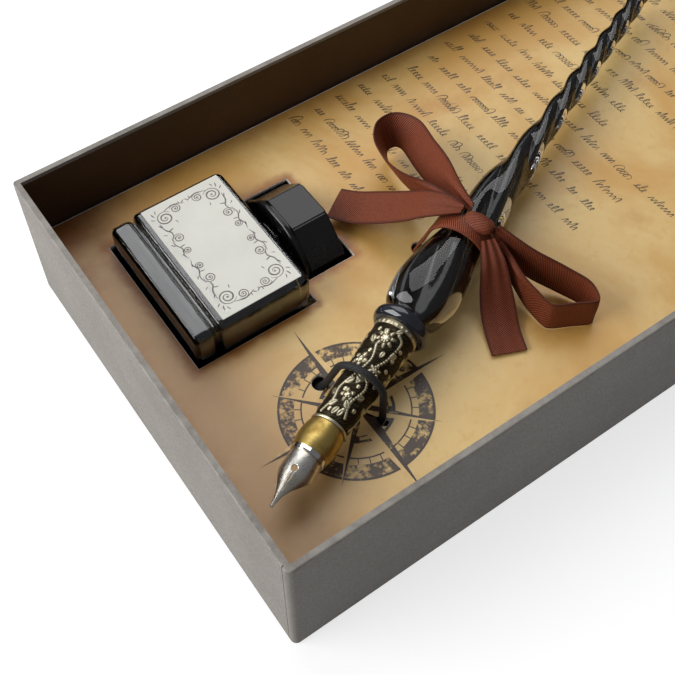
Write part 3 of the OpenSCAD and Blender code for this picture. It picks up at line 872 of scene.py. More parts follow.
def rounded_plan(
    length: float, width: float, radius: float, arc: int = 8, side: int = 5
) -> Points:
    """Outline of a rectangle with round corners, anticlockwise.

    Args:
        length: Size along the first axis.
        width: Size along the second axis.
        radius: Radius of the corners.
        arc: Steps round a corner.
        side: Steps along a side.

    Returns:
        Points in two coordinates.
    """
    out = []
    corners = [(1, 1, 0), (-1, 1, 90), (-1, -1, 180), (1, -1, 270)]
    for n, (sx, sy, first) in enumerate(corners):
        cx, cy = sx * (length / 2 - radius), sy * (width / 2 - radius)
        for i in range(arc + 1):
            a = math.radians(first + 90 * i / arc)
            out.append((cx + radius * math.cos(a), cy + radius * math.sin(a)))
        tx, ty, turn = corners[(n + 1) % 4]
        a = math.radians(turn)
        end = (tx * (length / 2 - radius) + radius * math.cos(a),
               ty * (width / 2 - radius) + radius * math.sin(a))
        begin = out[-1]
        for i in range(1, side):
            t = i / side
            out.append((begin[0] + (end[0] - begin[0]) * t, begin[1] + (end[1] - begin[1]) * t))
    return np.array(out)


def flat_piece(
    name: str,
    shapes: list[Points],
    place: Matrix,
    thick: float,
    material: bpy.types.Material,
) -> bpy.types.Object:
    """Makes thin printed shapes, each a closed slab.

    Args:
        name: The piece's name.
        shapes: Outlines in two coordinates, convex or nearly so, or strips of quads.
        place: Puts the plane in the frame.
        thick: Thickness of the print in metres.
        material: Its material.

    Returns:
        The object.
    """
    points, faces = [], []
    for shape in shapes:
        n, base = len(shape), len(points)
        for level in (0.0, thick):
            points += [place @ Vector((float(x), float(y), level)) for x, y in shape]
        faces.append(tuple(base + i for i in reversed(range(n))))
        faces.append(tuple(base + n + i for i in range(n)))
        faces += [(base + i, base + (i + 1) % n, base + n + (i + 1) % n, base + n + i)
                  for i in range(n)]
    return outward(mesh_piece(name, np.array(points), faces, material, False))


def stroke_slabs(
    lines: list[Points], widths: list[Points], place: Matrix, thick: float
) -> tuple[list[Vector], list[tuple[int, ...]]]:
    """Turns pen lines into thin closed strips.

    Args:
        lines: Lines of points in two coordinates.
        widths: The line's width at each point.
        place: Puts the plane in the frame.
        thick: Thickness of the print in metres.

    Returns:
        Points and faces of all strips.
    """
    points: list[Vector] = []
    faces: list[tuple[int, ...]] = []
    for line, width in zip(lines, widths):
        run = np.gradient(line, axis=0)
        run /= np.maximum(np.linalg.norm(run, axis=1, keepdims=True), 1e-9)
        side = np.stack([-run[:, 1], run[:, 0]], axis=1) * width[:, None] / 2
        base, n = len(points), len(line)
        for i in range(n):
            for edge, level in ((-1, 0.0), (1, 0.0), (1, thick), (-1, thick)):
                x, y = line[i] + edge * side[i]
                points.append(place @ Vector((float(x), float(y), level)))
        for i in range(n - 1):
            a, b = base + 4 * i, base + 4 * (i + 1)
            faces += [(a + j, a + (j + 1) % 4, b + (j + 1) % 4, b + j) for j in range(4)]
        end = base + 4 * (n - 1)
        faces += [(base + 3, base + 2, base + 1, base), (end, end + 1, end + 2, end + 3)]
    return points, faces


def stroke_piece(
    name: str,
    lines: list[Points],
    widths: list[Points],
    place: Matrix,
    thick: float,
    material: bpy.types.Material,
) -> bpy.types.Object:
    """Makes pen lines as one piece of thin closed strips.

    Args:
        name: The piece's name.
        lines: Lines of points in two coordinates.
        widths: The line's width at each point.
        place: Puts the plane in the frame.
        thick: Thickness of the print in metres.
        material: Its material.

    Returns:
        The object.
    """
    points, faces = stroke_slabs(lines, widths, place, thick)
    return outward(mesh_piece(name, np.array(points), faces, material, False))


def node_dress(material: bpy.types.Material, *names: str) -> None:
    """Gives carried-over nodes a material.

    Args:
        material: The material.
        names: The nodes.
    """
    for name in names:
        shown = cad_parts[name]
        if not shown.material_slots:
            shown.data.materials.append(material)
        for place in shown.material_slots:
            place.material = material
        LOG.info("dressed %s", name)


def settle(piece: bpy.types.Object, body: str, slot: Slot, *nodes: str) -> bpy.types.Object:
    """Puts a finished piece on its body and hides the nodes that it replaces.

    Args:
        piece: The piece.
        body: The body that it rides on.
        slot: The record's material slot; not used.
        nodes: The nodes that it replaces.

    Returns:
        The same piece.
    """
    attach(piece, body)
    if nodes:
        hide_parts(*nodes)
    LOG.info("built %s on %s", piece.name, body)
    return piece


# Places


@dataclass(frozen=True)
class PenPlace:
    """The pen's own frame: x from the nib's point along the pen, y to the back wall, z up."""

    tip: tuple[float, float, float] = (-0.1169, -0.0443, 0.0316)
    yaw: float = math.radians(22.6)

    def points(self, local: Points) -> Points:
        """Takes points in millimetres in the pen's frame to the box's frame in metres.

        Args:
            local: Points with three coordinates last.

        Returns:
            The points in metres.
        """
        c, s = math.cos(self.yaw), math.sin(self.yaw)
        out = np.empty(local.shape, float)
        out[..., 0] = self.tip[0] + (c * local[..., 0] - s * local[..., 1]) * MM
        out[..., 1] = self.tip[1] + (s * local[..., 0] + c * local[..., 1]) * MM
        out[..., 2] = self.tip[2] + local[..., 2] * MM
        return out


@dataclass(frozen=True)
class BottlePlace:
    """The bottle's own frame: x from its base along its axis, y across, z up."""

    base: tuple[float, float, float] = (-0.1085, 0.0224, 0.01727)

    def points(self, local: Points) -> Points:
        """Takes points in millimetres to the box's frame in metres."""
        return np.asarray(self.base) + np.asarray(local, float) * MM


# Studio


@dataclass
class Studio:
    """Pale floor, soft boxes and the camera at the photograph's angle."""

    eye: tuple[float, float, float] = (-0.16453, -0.13872, 0.25919)
    azimuth: float = 34.647
    elevation: float = 53.954
    roll: float = -0.391
    lens: float = 61.19
    shift: tuple[float, float] = (0.00185, -0.08734)
    floor_size: float = 40.0
    floor_cells: int = 24
    glow: float = 0.72
    ambient: float = 0.15
    aim: tuple[float, float, float] = (-0.03, 0.0, 0.02)

    def camera(self) -> None:
        """Places the camera."""
        data = bpy.data.cameras.new("camera")
        data.lens, data.sensor_width = self.lens, 36.0
        data.shift_x, data.shift_y = self.shift
        data.clip_start = 0.01
        eye = bpy.data.objects.new("camera", data)
        turn = (Matrix.Rotation(-math.radians(self.azimuth), 4, "Z")
                @ Matrix.Rotation(math.radians(90 - self.elevation), 4, "X")
                @ Matrix.Rotation(math.radians(self.roll), 4, "Z"))
        eye.matrix_world = Matrix.Translation(self.eye) @ turn
        bpy.context.scene.collection.objects.link(eye)
        bpy.context.scene.camera = eye

    def panel(
        self, name: str, place: tuple[float, float, float], size: float, level: float
    ) -> None:
        """Adds a square soft box that faces the box.

        Args:
            name: The lamp's name.
            place: Its middle.
            size: Its side.
            level: Its brightness, 1 for white.
        """
        data = bpy.data.lights.new(name, "AREA")
        data.shape, data.size = "SQUARE", size
        data.energy = level * math.pi * size * size
        lamp = bpy.data.objects.new(name, data)
        aim = Vector(self.aim) - Vector(place)
        turn = aim.to_track_quat("-Z", "Y").to_matrix().to_4x4()
        lamp.matrix_world = Matrix.Translation(place) @ turn
        bpy.context.scene.collection.objects.link(lamp)

    def world(self) -> None:
        """Gives the room an even grey."""
        world = bpy.data.worlds.new("room")
        world.use_nodes = True
        back = world.node_tree.nodes["Background"]
        back.inputs["Color"].default_value = (0.93, 0.95, 1.0, 1.0)
        back.inputs["Strength"].default_value = self.ambient
        bpy.context.scene.world = world

    def floor(self) -> None:
        """Lays the pale floor, which shows white to the camera where no shadow falls."""
        half, count = self.floor_size / 2, self.floor_cells + 1
        steps = np.linspace(-1, 1, count) ** 3 * half
        points = np.array([(x, y, -0.0002) for y in steps for x in steps])
        faces = [(r * count + c, r * count + c + 1, (r + 1) * count + c + 1, (r + 1) * count + c)
                 for r in range(count - 1) for c in range(count - 1)]
        g = Graph("floor_paper")
        grain = g.noise(g.space(), 400.0, 2.0)
        path = g.node("ShaderNodeLightPath").outputs
        seen = g.math("MAXIMUM", path["Is Camera Ray"], g.math("MAXIMUM", path["Is Glossy Ray"],
                                                               path["Is Transmission Ray"]))
        dim = g.mix(grain, (0.26, 0.26, 0.26, 1.0), (0.30, 0.30, 0.30, 1.0))
        pale = g.mix(grain, (0.40, 0.40, 0.40, 1.0), (0.42, 0.42, 0.42, 1.0))
        g.dress(
            Base_Color=g.mix(seen, dim, pale),
            Roughness=0.9,
            Specular_IOR_Level=0.1,
            Emission_Color=(1.0, 1.0, 1.0, 1.0),
            Emission_Strength=g.math("MULTIPLY", seen, self.glow),
        )
        mesh_piece("floor", points, faces, g.material)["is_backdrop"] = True

    def build(self) -> None:
        """Sets up the whole studio."""
        bpy.context.scene.view_settings.view_transform = "Standard"
        self.camera()
        self.world()
        self.floor()
        self.panel("back_panel", (0.27, 0.64, 1.0), 1.2, 1.9)
        self.panel("left_panel", (-1.05, 0.35, 0.55), 1.0, 5.0)
        LOG.info("studio set")


# Box and insert


@dataclass
class BoxTray:
    """The wrapped board tray, whose nodes all keep their shapes."""

    cover: CoverPaper = field(default_factory=CoverPaper)

    def build(self) -> None:
        """Dresses the tray's nodes."""
        node_dress(self.cover.make(), "wrap_paper")
        board = Grained("greyboard", tone(122, 116, 106), tone(146, 139, 128), 90, 1800, 0.00006, 0.8, 0.95)
        node_dress(
            board.make(), "board_bottom", "board_front", "board_back", "board_left", "board_right"
        )
        stay = Grained(
            "stay_paper", tone(176, 150, 102), tone(194, 170, 124), 120, 2200, 0.00003, 0.7, 0.85
        )
        node_dress(stay.make(), "corner_stays")
        lining = Grained("lining_paper", tone(66, 43, 24), tone(80, 54, 32), 45, 1500, 0.00004, 0.5, 0.66)
        node_dress(lining.make(), "wall_lining", "floor_lining")


@dataclass
class PrintedCard:
    """The die-cut insert, its printed sheet, and what is printed on the sheet."""

    top: float = 0.0227
    ink_t: float = 0.00002
    rose_at: tuple[float, float] = (-0.0845, -0.0309)
    rose_r: float = 0.0184
    parchment: Parchment = field(default_factory=Parchment)
    rows_x: tuple[float, float] = (-0.0455, 0.118)
    row_pitch: float = 0.0079
    row_start: float = 0.0568
    stroke: float = 0.00022
    seed: int = 11

    def _plane(self, lift: float = 0.0) -> Matrix:
        """Gives the plane of the printed face."""
        return Matrix.Translation((0, 0, self.top + 0.000005 + lift))

    def _band(self, r0: float, r1: float, start: float, end: float, steps: int) -> list[Points]:
        """Cuts a ring's sector into slabs.

        Args:
            r0: Inner radius.
            r1: Outer radius.
            start: First angle in degrees.
            end: Last angle in degrees.
            steps: Number of slabs.

        Returns:
            One outline for each slab.
        """
        out = []
        cx, cy = self.rose_at
        for i in range(steps):
            a, b = (math.radians(start + (end - start) * (i + k) / steps) for k in (0, 1))
            out.append(np.array([(cx + r * math.cos(t), cy + r * math.sin(t))
                                 for r, t in ((r0, a), (r1, a), (r1, b), (r0, b))]))
        return out

    def _point(self, angle: float, tip: float, waist: float, spread: float, side: int) -> Points:
        """One half of a star's point.

        Args:
            angle: Its direction in degrees.
            tip: Distance of its tip.
            waist: Distance of its shoulder.
            spread: Angle of the shoulder off the point's line.
            side: 1 or -1.

        Returns:
            The triangle.
        """
        cx, cy = self.rose_at
        a, b = math.radians(angle), math.radians(angle + side * spread)
        return np.array([(cx, cy), (cx + tip * math.cos(a), cy + tip * math.sin(a)),
                         (cx + waist * math.cos(b), cy + waist * math.sin(b))])

    def _lay(
        self, name: str, shapes: list[Points], lift: float, ink: bpy.types.Material
    ) -> None:
        """Prints shapes on the sheet.

        Args:
            name: The print's name.
            shapes: Its outlines.
            lift: Height over the sheet's face.
            ink: The ink.
        """
        settle(flat_piece(name, shapes, self._plane(lift), self.ink_t, ink), "insert", Slot.PRINT)

    def rose(self) -> None:
        """Prints a wind rose: brushed ring, fine circles with ticks, and an eight-pointed star."""
        r = self.rose_r
        brushed = PrintedInk("rose_brush", tone(70, 52, 38), 0.55).make(self.parchment)
        full = PrintedInk("rose_ink", tone(62, 46, 34), 0.95).make(self.parchment)
        ground = PrintedInk("rose_pale", tone(232, 196, 138), 0.2).make(self.parchment)
        ring = self._band(0.80 * r, 1.0 * r, 0, 360, 96)
        self._lay("rose_ring", ring, 0.0, brushed)
        fine = self._band(0.985 * r, 1.015 * r, 0, 360, 96) + self._band(0.70 * r, 0.72 * r, 0, 360, 90)
        fine += self._band(0.46 * r, 0.50 * r, 0, 360, 72) + self._band(0.40 * r, 0.415 * r, 0, 360, 72)
        for k in range(32):
            fine += self._band(0.72 * r, 0.80 * r, k * 11.25 - 0.5, k * 11.25 + 0.5, 1)
        for k in range(16):
            fine += self._band(0.415 * r, 0.46 * r, k * 22.5 + 8, k * 22.5 + 14.5, 1)
        self._lay("rose_circles", fine, 3e-6, full)
        dark, pale = [], []
        for k in range(8):
            angle = 90 * k if k < 4 else 90 * k + 45
            tip, waist, spread = (1.45 * r, 0.26 * r, 30) if k < 4 else (1.12 * r, 0.2 * r, 24)
            dark.append(self._point(angle, tip, waist, spread, 1))
            pale.append(self._point(angle, tip, waist, spread, -1))
        self._lay("rose_points_dark", dark, 6e-6, full)
        self._lay("rose_points_pale", pale, 6e-6, ground)

    def _drill(self, rng: np.random.Generator, length: float) -> tuple[list[Points], float]:
        """One group of pen-practice strokes, written along +X with the base line at 0.

        Args:
            rng: Source of the small differences.
            length: Room for the group.

        Returns:
            Its lines and the length that it took.
        """
        kind = int(rng.integers(0, 5))
        rise = 0.0016 * rng.uniform(0.85, 1.15)
        pitch = 0.0011 * rng.uniform(0.85, 1.2)
        loops = int(rng.integers(3, 8))
        loops = max(2, min(loops, int(length / pitch)))
        t = np.linspace(0, loops * 2 * math.pi, loops * 12 + 1)
        tall = np.ones_like(t)
        for k in range(loops):
            if rng.random() < 0.28:
                tall[k * 12:(k + 1) * 12] = rng.uniform(1.5, 2.1)
        x = pitch * t / (2 * math.pi)
        if kind in (0, 3):
            x = x + 0.42 * pitch * np.sin(t)
            y = rise * (0.5 - 0.5 * np.cos(t)) * tall
        elif kind == 1:
            y = rise * (0.5 - 0.5 * np.cos(t)) * tall
        elif kind == 2:
            x = x - 0.55 * pitch * np.sin(t)
            y = rise * (0.5 - 0.5 * np.cos(t)) * tall - 0.0001
        else:
            y = rise * np.abs(np.sin(t / 2)) * tall
        x = x + 0.32 * y
        y = y + rng.uniform(-1, 1) * 0.00008
        return [np.stack([x, y], axis=1)], loops * pitch

    def practice_rows(self) -> None:
        """Prints rows of pen-practice strokes: loops, waves and ovals, as on a copy sheet."""
        rng = np.random.default_rng(self.seed)
        ink = PrintedInk("pen_strokes", tone(74, 60, 46), 0.9).make(self.parchment)
        lines, widths = [], []
        rows = np.arange(*self.rows_x, self.row_pitch)
        for n, x in enumerate(rows):
            start = self.row_start - rng.uniform(0, 0.003)
            end = -0.045 + rng.uniform(0, 0.05)
            if x < -0.03:
                end = max(end, 0.012)
            slope = rng.uniform(-0.02, 0.01) - 0.03
            y = start
            while y > end:
                room = rng.uniform(0.005, 0.013)
                drawn, used = self._drill(rng, room)
                for line in drawn:
                    # written towards -Y with the stroke's height towards +X
                    px = x + line[:, 1] + slope * (start - y) * 0.3
                    py = y - line[:, 0]
                    lines.append(np.stack([px, py], axis=1))
                    press = np.sin(np.linspace(0, len(line) / 2.1, len(line)) + n)
                    widths.append(self.stroke + 0.00009 * press)
                y -= used + rng.uniform(0.0016, 0.0028)
        settle(stroke_piece("practice_rows", lines, widths, self._plane(), self.ink_t, ink),
               "insert", Slot.PRINT)

    def build(self) -> None:
        """Dresses the card and prints on it."""
        card = Grained("white_card", tone(232, 226, 214), tone(240, 236, 226), 80, 1600, 0.00003, 0.6, 0.8)
        node_dress(card.make(), "insert_card")
        node_dress(self.parchment.make(), "parchment_print")
        self.rose()
        self.practice_rows()


# Bottle


@dataclass
class InkBottle:
    """The square ink bottle: glass, label with its border, shrink film and screw cap."""

    place: BottlePlace = field(default_factory=BottlePlace)
    foot: float = 5.9
    groove: float = 0.9
    body: float = 26.2
    width: float = 43.6
    depth: float = 30.8
    edge: float = 2.6
    neck_r: float = 9.2
    lip: float = 45.6
    wall: float = 2.2
    base: float = 3.4
    collar_x: float = 36.1
    collar_l: float = 2.2
    collar_r: float = 15.5
    cap_flats: float = 28.0
    cap_end: float = 48.5
    label_x: tuple[float, float] = (8.7, 31.1)
    label_lift: float = 0.15
    film_t: float = 0.03
    seed: int = 5

    def _ring(self, x: float, width: float, depth: float, radius: float) -> Points:
        """A rounded-rectangle section across the bottle.

        Args:
            x: Station along the bottle.
            width: Size across.
            depth: Size up.
            radius: Radius of its corners.

        Returns:
            The ring's points in the bottle's frame.
        """
        plan = rounded_plan(width, depth, radius)
        return np.column_stack([np.full(len(plan), x), plan])

    def _round(self, x: float, radius: float) -> Points:
        """A round section with as many points as a square one."""
        plan = rounded_plan(self.width, self.depth, self.edge)
        angle = np.arctan2(plan[:, 1] / self.depth, plan[:, 0] / self.width)
        return np.column_stack([np.full(len(plan), x), radius * np.cos(angle), radius * np.sin(angle)])

    def _rolled(
        self, x: float, width: float, depth: float, edge: float, out: bool, soft: float
    ) -> list[Points]:
        """Rings of a softly rounded end.

        Args:
            x: Station of the flat end.
            width: Full width.
            depth: Full depth.
            edge: Radius of the section's corners.
            out: Whether the section grows along +X from the end.
            soft: Radius of the end's rounding.

        Returns:
            The rings in order along +X.
        """
        rings = []
        for k in range(7):
            a = math.pi / 2 * k / 6
            shrink = soft * (1 - math.sin(a))
            along = soft * (1 - math.cos(a))
            step = x + along if out else x - along
            rings.append(self._ring(step, width - 2 * shrink, depth - 2 * shrink, max(edge - shrink, 0.5)))
        return rings if out else rings[::-1]

    def glass(self) -> None:
        """Builds the glass with its cavity, neck and bore."""
        w, d = self.width, self.depth
        shoulder = self.foot + self.groove + self.body
        rings = [self._ring(0, 8, 4, 1.2), self._ring(0, w - 10, d - 10, 1.5)]
        rings += self._rolled(0, w - 0.8, d - 1.8, 2.4, True, 1.5)
        rings += self._rolled(self.foot, w - 0.8, d - 1.8, 2.4, False, 0.9)
        rings += [self._ring(self.foot + 0.15, w - 3.4, d - 4.0, 1.6),
                  self._ring(self.foot + self.groove - 0.15, w - 3.4, d - 4.0, 1.6)]
        rings += self._rolled(self.foot + self.groove, w, d, self.edge, True, 1.0)
        rings += self._rolled(shoulder, w, d, self.edge, False, 1.9)
        rings += [self._ring(shoulder, w - 9, d - 9, 3.0), self._round(shoulder, 12.2),
                  self._round(shoulder + 0.15, 10.6), self._round(shoulder + 0.7, self.neck_r + 0.15),
                  self._round(shoulder + 1.0, self.neck_r), self._round(self.collar_x - 2.1, self.neck_r)]
        for along, bulge in ((0.0, 0.5), (0.35, 1.15), (0.8, 1.3), (1.2, 1.05), (1.5, 0.0)):
            rings.append(self._round(self.collar_x - 2.05 + along, self.neck_r + bulge))
        rings += [self._round(self.lip - 0.7, self.neck_r), self._round(self.lip - 0.2, self.neck_r - 0.15),
                  self._round(self.lip, self.neck_r - 0.7), self._round(self.lip, self.neck_r - 1.6),
                  self._round(self.lip - 0.5, self.neck_r - self.wall),
                  self._round(shoulder - 0.6, self.neck_r - self.wall)]
        cw, cd = w - 2 * self.wall - 1.6, d - 2 * self.wall - 1.6
        inner = shoulder - self.wall
        rings += [self._round(inner + 0.1, self.neck_r - self.wall + 0.2),
                  self._ring(inner, cw - 4, cd - 4, 3.0)]
        rings += self._rolled(inner, cw, cd, 1.9, False, 1.2)[::-1]
        rings += self._rolled(self.base, cw, cd, 1.9, True, 1.2)[::-1]
        rings.append(self._ring(self.base, 8, 4, 1.2))
        piece = loft("bottle_glass_shell", self.place.points(np.array(rings)), BottleGlass().make())
        settle(piece, "bottle", Slot.BOTTLE, "bottle_glass")
        ink = Grained("ink", tone(7, 7, 10), tone(12, 12, 17), 90, 500, 0.00001, 0.08, 0.16)
        grow = 0.06
        filled = [self._ring(self.base - grow, 8, 4, 1.2)]
        filled += self._rolled(self.base - grow, cw + 2 * grow, cd + 2 * grow, 1.9, True, 1.2)
        filled += self._rolled(inner - 0.1, cw + 2 * grow, cd + 2 * grow, 1.9, False, 1.2)
        filled += [self._ring(inner - 0.1, cw - 4, cd - 4, 3.0), self._round(inner - 0.1, 4.0)]
        level = loft("ink_fill", self.place.points(np.array(filled)), ink.make())
        settle(level, "bottle", Slot.INK, "bottle_ink")

    def film(self) -> None:
        """Builds the shrink film: a thin creased skin round foot and body, and its ear."""
        w, d = self.width, self.depth
        rng = np.random.default_rng(self.seed)
        stations = [
            (0.9, w - 0.5, d - 1.5, 2.5), (2.6, w - 0.35, d - 1.4, 2.6), (4.5, w - 0.3, d - 1.3, 2.6),
            (5.4, w - 1.5, d - 2.5, 2.2), (6.2, w - 2.2, d - 3.0, 2.0), (7.0, w - 0.9, d - 1.0, 2.4),
            (8.2, w + 0.24, d + 0.22, 2.7), (16, w + 0.26, d + 0.22, 2.7),
            (24, w + 0.26, d + 0.22, 2.7), (30.6, w + 0.2, d + 0.16, 2.7), (31.9, w - 0.3, d - 0.3, 2.7),
        ]
        path = smoothed([list(s) for s in stations], 4)
        outer = np.array([self._ring(*row) for row in path])
        phase = rng.uniform(0, 2 * math.pi, 6)
        turn = np.arctan2(outer[..., 2], outer[..., 1])
        along = outer[..., 0]
        wobble = sum(np.sin((k + 3) * turn * 1.7 + along * (0.5 + 0.23 * k) + phase[k])
                     for k in range(len(phase)))
        lift = 0.045 * np.maximum(wobble, 0) / 3 * np.where(along < 7.5, 1.0, 0.12)
        out = outer.copy()
        reach = np.linalg.norm(outer[..., 1:], axis=-1, keepdims=True)
        out[..., 1:] += outer[..., 1:] / reach * lift[..., None]
        inner = out.copy()
        inner[..., 1:] -= out[..., 1:] / reach * self.film_t
        rings = np.concatenate([out, inner[::-1]])
        rows, count = rings.shape[:2]
        faces = loft_faces(rows, count, capped=False)
        faces += [((rows - 1) * count + j, (rows - 1) * count + (j + 1) % count, (j + 1) % count, j)
                  for j in range(count)]
        clear = Film().make()
        skin = mesh_piece("film_sleeve", self.place.points(rings.reshape(-1, 3)), faces, clear)
        settle(outward(skin), "bottle", Slot.FILM, "shrink_film")
        z = 22.7 + 1.0 - 17.27
        ear = [[27.6, -21.9, z, 0.5], [29.4, -22.1, z + 0.5, 1.4], [31.4, -22.5, z + 0.3, 2.2],
               [33.2, -23.6, z - 0.4, 1.6], [34.0, -24.4, z - 0.9, 0.3]]
        path = smoothed(ear, 5)
        sections = []
        for i, (x, y, h, half) in enumerate(path):
            fold = 0.35 * math.sin(i * 0.9)
            low, tall = h - half + fold * 0.3, h + half * 0.6
            sections.append([
                (x - half * 0.5, y, low), (x - half * 0.2, y - 0.18, h + fold),
                (x + half * 0.3, y - 0.1, tall), (x + half * 0.3 + self.film_t, y - 0.06, tall),
                (x - half * 0.2 + self.film_t, y - 0.12, h + fold + self.film_t),
                (x - half * 0.5, y + 0.05, low),
            ])
        flap = loft("film_ear", self.place.points(np.array(sections)), clear, True)
        settle(flap, "bottle", Slot.FILM)

    def label(self) -> None:
        """Prints the label's border: mirrored scrolls with leaves."""
        paper = Grained(
            "label_paper", tone(220, 218, 208), tone(228, 226, 216), 70, 1500, 0.00002, 0.5, 0.62
        )
        node_dress(paper.make(), "bottle_label")
        g = Graph("border_ink")
        fade = g.noise(g.space(), 900.0, 3.0)
        ink = g.dress(Base_Color=g.mix(g.fade(fade, 0.35, 0.7), tone(92, 84, 86), tone(140, 130, 126)),
                      Roughness=0.55)
        lines, widths = [], []

        def scroll(at: tuple[float, float], turn: float, size: float, hand: int) -> None:
            """Adds a spiral with a swelling stem and two leaves."""
            t = np.linspace(0, 1, 46)
            angle = turn + hand * (t * 2.35 * 2 * math.pi)
            radius = size * (1 - t) ** 0.85 * 0.5
            cx, cy = at
            line = np.stack([cx + radius * np.cos(angle), cy + radius * np.sin(angle)], axis=1)
            lines.append(line)
            widths.append(0.12 + 0.34 * np.sin(np.pi * np.clip(t * 1.25, 0, 1)) * size / 4)
            lines.append(np.array([[cx + 0.16 * math.cos(a), cy + 0.16 * math.sin(a)]
                                   for a in np.linspace(0, 1.7 * math.pi, 9)]))
            widths.append(np.full(9, 0.3))

        def stem(points: list[list[float]], swell: float) -> None:
            """Adds a curved stem that swells in its middle."""
            line = smoothed(points, 8)
            lines.append(line)
            widths.append(0.12 + swell * np.sin(np.linspace(0, math.pi, len(line))))

        def leaf(at: tuple[float, float], turn: float, size: float) -> None:
            """Adds a pointed leaf."""
            t = np.linspace(0, 1, 9)
            bend = 0.35 * np.sin(t * math.pi / 2)
            reach, aim = size * t, turn + bend
            lines.append(np.stack([at[0] + reach * np.cos(aim), at[1] + reach * np.sin(aim)], axis=1))
            widths.append(0.06 + 0.42 * size / 2 * np.sin(t * math.pi) ** 0.8)

        for sx in (1, -1):
            for sy in (1, -1):
                first = len(lines)
                scroll((6.9, 15.2), 2.6, 4.6, -1)
                scroll((3.2, 16.6), 0.4, 3.0, 1)
                stem([[6.2, 17.4], [4.9, 17.8], [3.4, 18.1], [1.6, 17.6], [0.5, 17.0]], 0.28)
                stem([[9.1, 14.3], [8.9, 11.8], [7.9, 10.0], [8.4, 8.0]], 0.34)
                scroll((7.3, 7.6), -0.6, 3.1, 1)
                stem([[8.8, 8.6], [9.2, 6.2], [8.3, 4.0], [8.9, 2.0], [8.5, 0.3]], 0.3)
                scroll((7.5, 3.0), 0.9, 2.3, -1)
                for x, y, turn, size in (
                    (8.9, 12.6, 0.7, 1.5), (8.3, 10.6, 2.4, 1.6), (9.2, 9.9, 0.2, 1.1),
                    (9.2, 5.6, 0.5, 1.4), (8.5, 4.6, 2.6, 1.5), (8.8, 1.4, 0.9, 1.2),
                    (1.0, 17.2, 2.0, 1.3), (1.4, 17.5, 1.0, 1.0), (9.0, 16.9, 0.9, 1.6),
                    (8.4, 17.6, 1.5, 1.3), (9.4, 15.9, 0.3, 1.3), (5.2, 13.2, 4.0, 1.2),
                ):
                    leaf((x, y), turn, size)
                for i in range(first, len(lines)):
                    lines[i] = lines[i] * (sx, sy)
        x0 = (self.label_x[0] + self.label_x[1]) / 2
        top = self.depth / 2 + self.label_lift
        base = self.place.base
        place = Matrix.Translation((base[0] + x0 * MM, base[1], base[2] + top * MM + 2e-6))
        drawn = [line * MM * (1.0, 0.98) for line in lines]
        thick = [width * MM * 0.8 for width in widths]
        border = stroke_piece("label_border", drawn, thick, place, 0.00001, ink)
        settle(border, "bottle", Slot.LABEL)

    def _octagon(self, x: float, flats: float, soft: float) -> Points:
        """An eight-sided section with softened corners, two flats level.

        Args:
            x: Station along the bottle.
            flats: Width across the flats.
            soft: Half the width of the softened corner.

        Returns:
            The ring in the bottle's frame, 48 points.
        """
        out = []
        slant = 0.3927
        for k in range(8):
            a = math.radians(22.5 + 45 * k)
            corner = np.array([math.cos(a), math.sin(a)]) * flats / 2 / math.cos(math.radians(22.5))
            back, ahead = a - math.pi / 2 + slant, a + math.pi / 2 - slant
            start = corner + np.array([math.cos(back), math.sin(back)]) * soft
            end = corner + np.array([math.cos(ahead), math.sin(ahead)]) * soft
            for t in np.linspace(0, 1, 6):
                out.append((1 - t) ** 2 * start + 2 * t * (1 - t) * corner + t * t * end)
        return np.column_stack([np.full(len(out), x), np.array(out)])

    def _disc(self, x: float, radius: float) -> Points:
        """A round section with the octagon's points."""
        plan = self._octagon(x, 2.0, 0.18)
        angle = np.arctan2(plan[:, 2], plan[:, 1])
        return np.column_stack([plan[:, 0], radius * np.cos(angle), radius * np.sin(angle)])

    def cap(self) -> None:
        """Builds the screw cap: a collar with a rolled rim under an eight-sided head."""
        c0, c1, end, flats = self.collar_x, self.collar_x + self.collar_l, self.cap_end, self.cap_flats
        bore = 2 * (self.neck_r + 1.1)
        inner_end = self.lip + 1.05
        rings = [self._octagon(inner_end, 4, 0.3), self._octagon(inner_end, bore, 0.3),
                 self._octagon(c0 + 0.4, bore, 0.3), self._octagon(c0, bore + 0.8, 0.3),
                 self._disc(c0, self.collar_r - 1.7), self._disc(c0 + 0.02, self.collar_r - 0.6)]
        for k in range(7):
            a = math.pi * k / 6
            rings.append(self._disc(c0 + 0.6 - 0.6 * math.cos(a), self.collar_r - 0.6 + 0.6 * math.sin(a)))
        rings += [self._disc(c0 + 1.35, self.collar_r - 0.95), self._disc(c1 - 0.3, self.collar_r - 1.0),
                  self._octagon(c1 - 0.25, flats - 0.1, 0.35), self._octagon(c1, flats, 0.35)]
        rings += [self._octagon(x, flats, 0.35) for x in np.linspace(c1 + 0.8, end - 1.3, 6)]
        for k in range(6):
            a = math.pi / 2 * k / 5
            rings.append(self._octagon(end - 1.0 + math.sin(a), flats - 2.0 * (1 - math.cos(a)),
                                       0.35 + 0.5 * k / 5))
        rings += [self._octagon(end, flats - 3.4, 0.8), self._octagon(end - 0.25, flats - 4.2, 0.8),
                  self._octagon(end - 0.25, 4, 0.3)]
        plastic = Grained(
            "black_plastic", tone(18, 18, 20), tone(23, 23, 25), 70, 1500, 0.000002, 0.24, 0.28
        )
        piece = loft("cap_shell", self.place.points(np.array(rings)), plastic.make())
        bevel = piece.modifiers.new("facets", "EDGE_SPLIT")
        bevel.split_angle = math.radians(28)
        settle(piece, "cap", Slot.CAP, "bottle_cap")

    def build(self) -> None:
        """Builds the bottle."""
        self.glass()
        self.film()
        self.label()
        self.cap()
        foam = Grained("foam_liner", tone(206, 200, 186), tone(220, 215, 204), 300, 2600, 0.0001, 0.8, 0.95)
        node_dress(foam.make(), "cap_liner")


# Pen


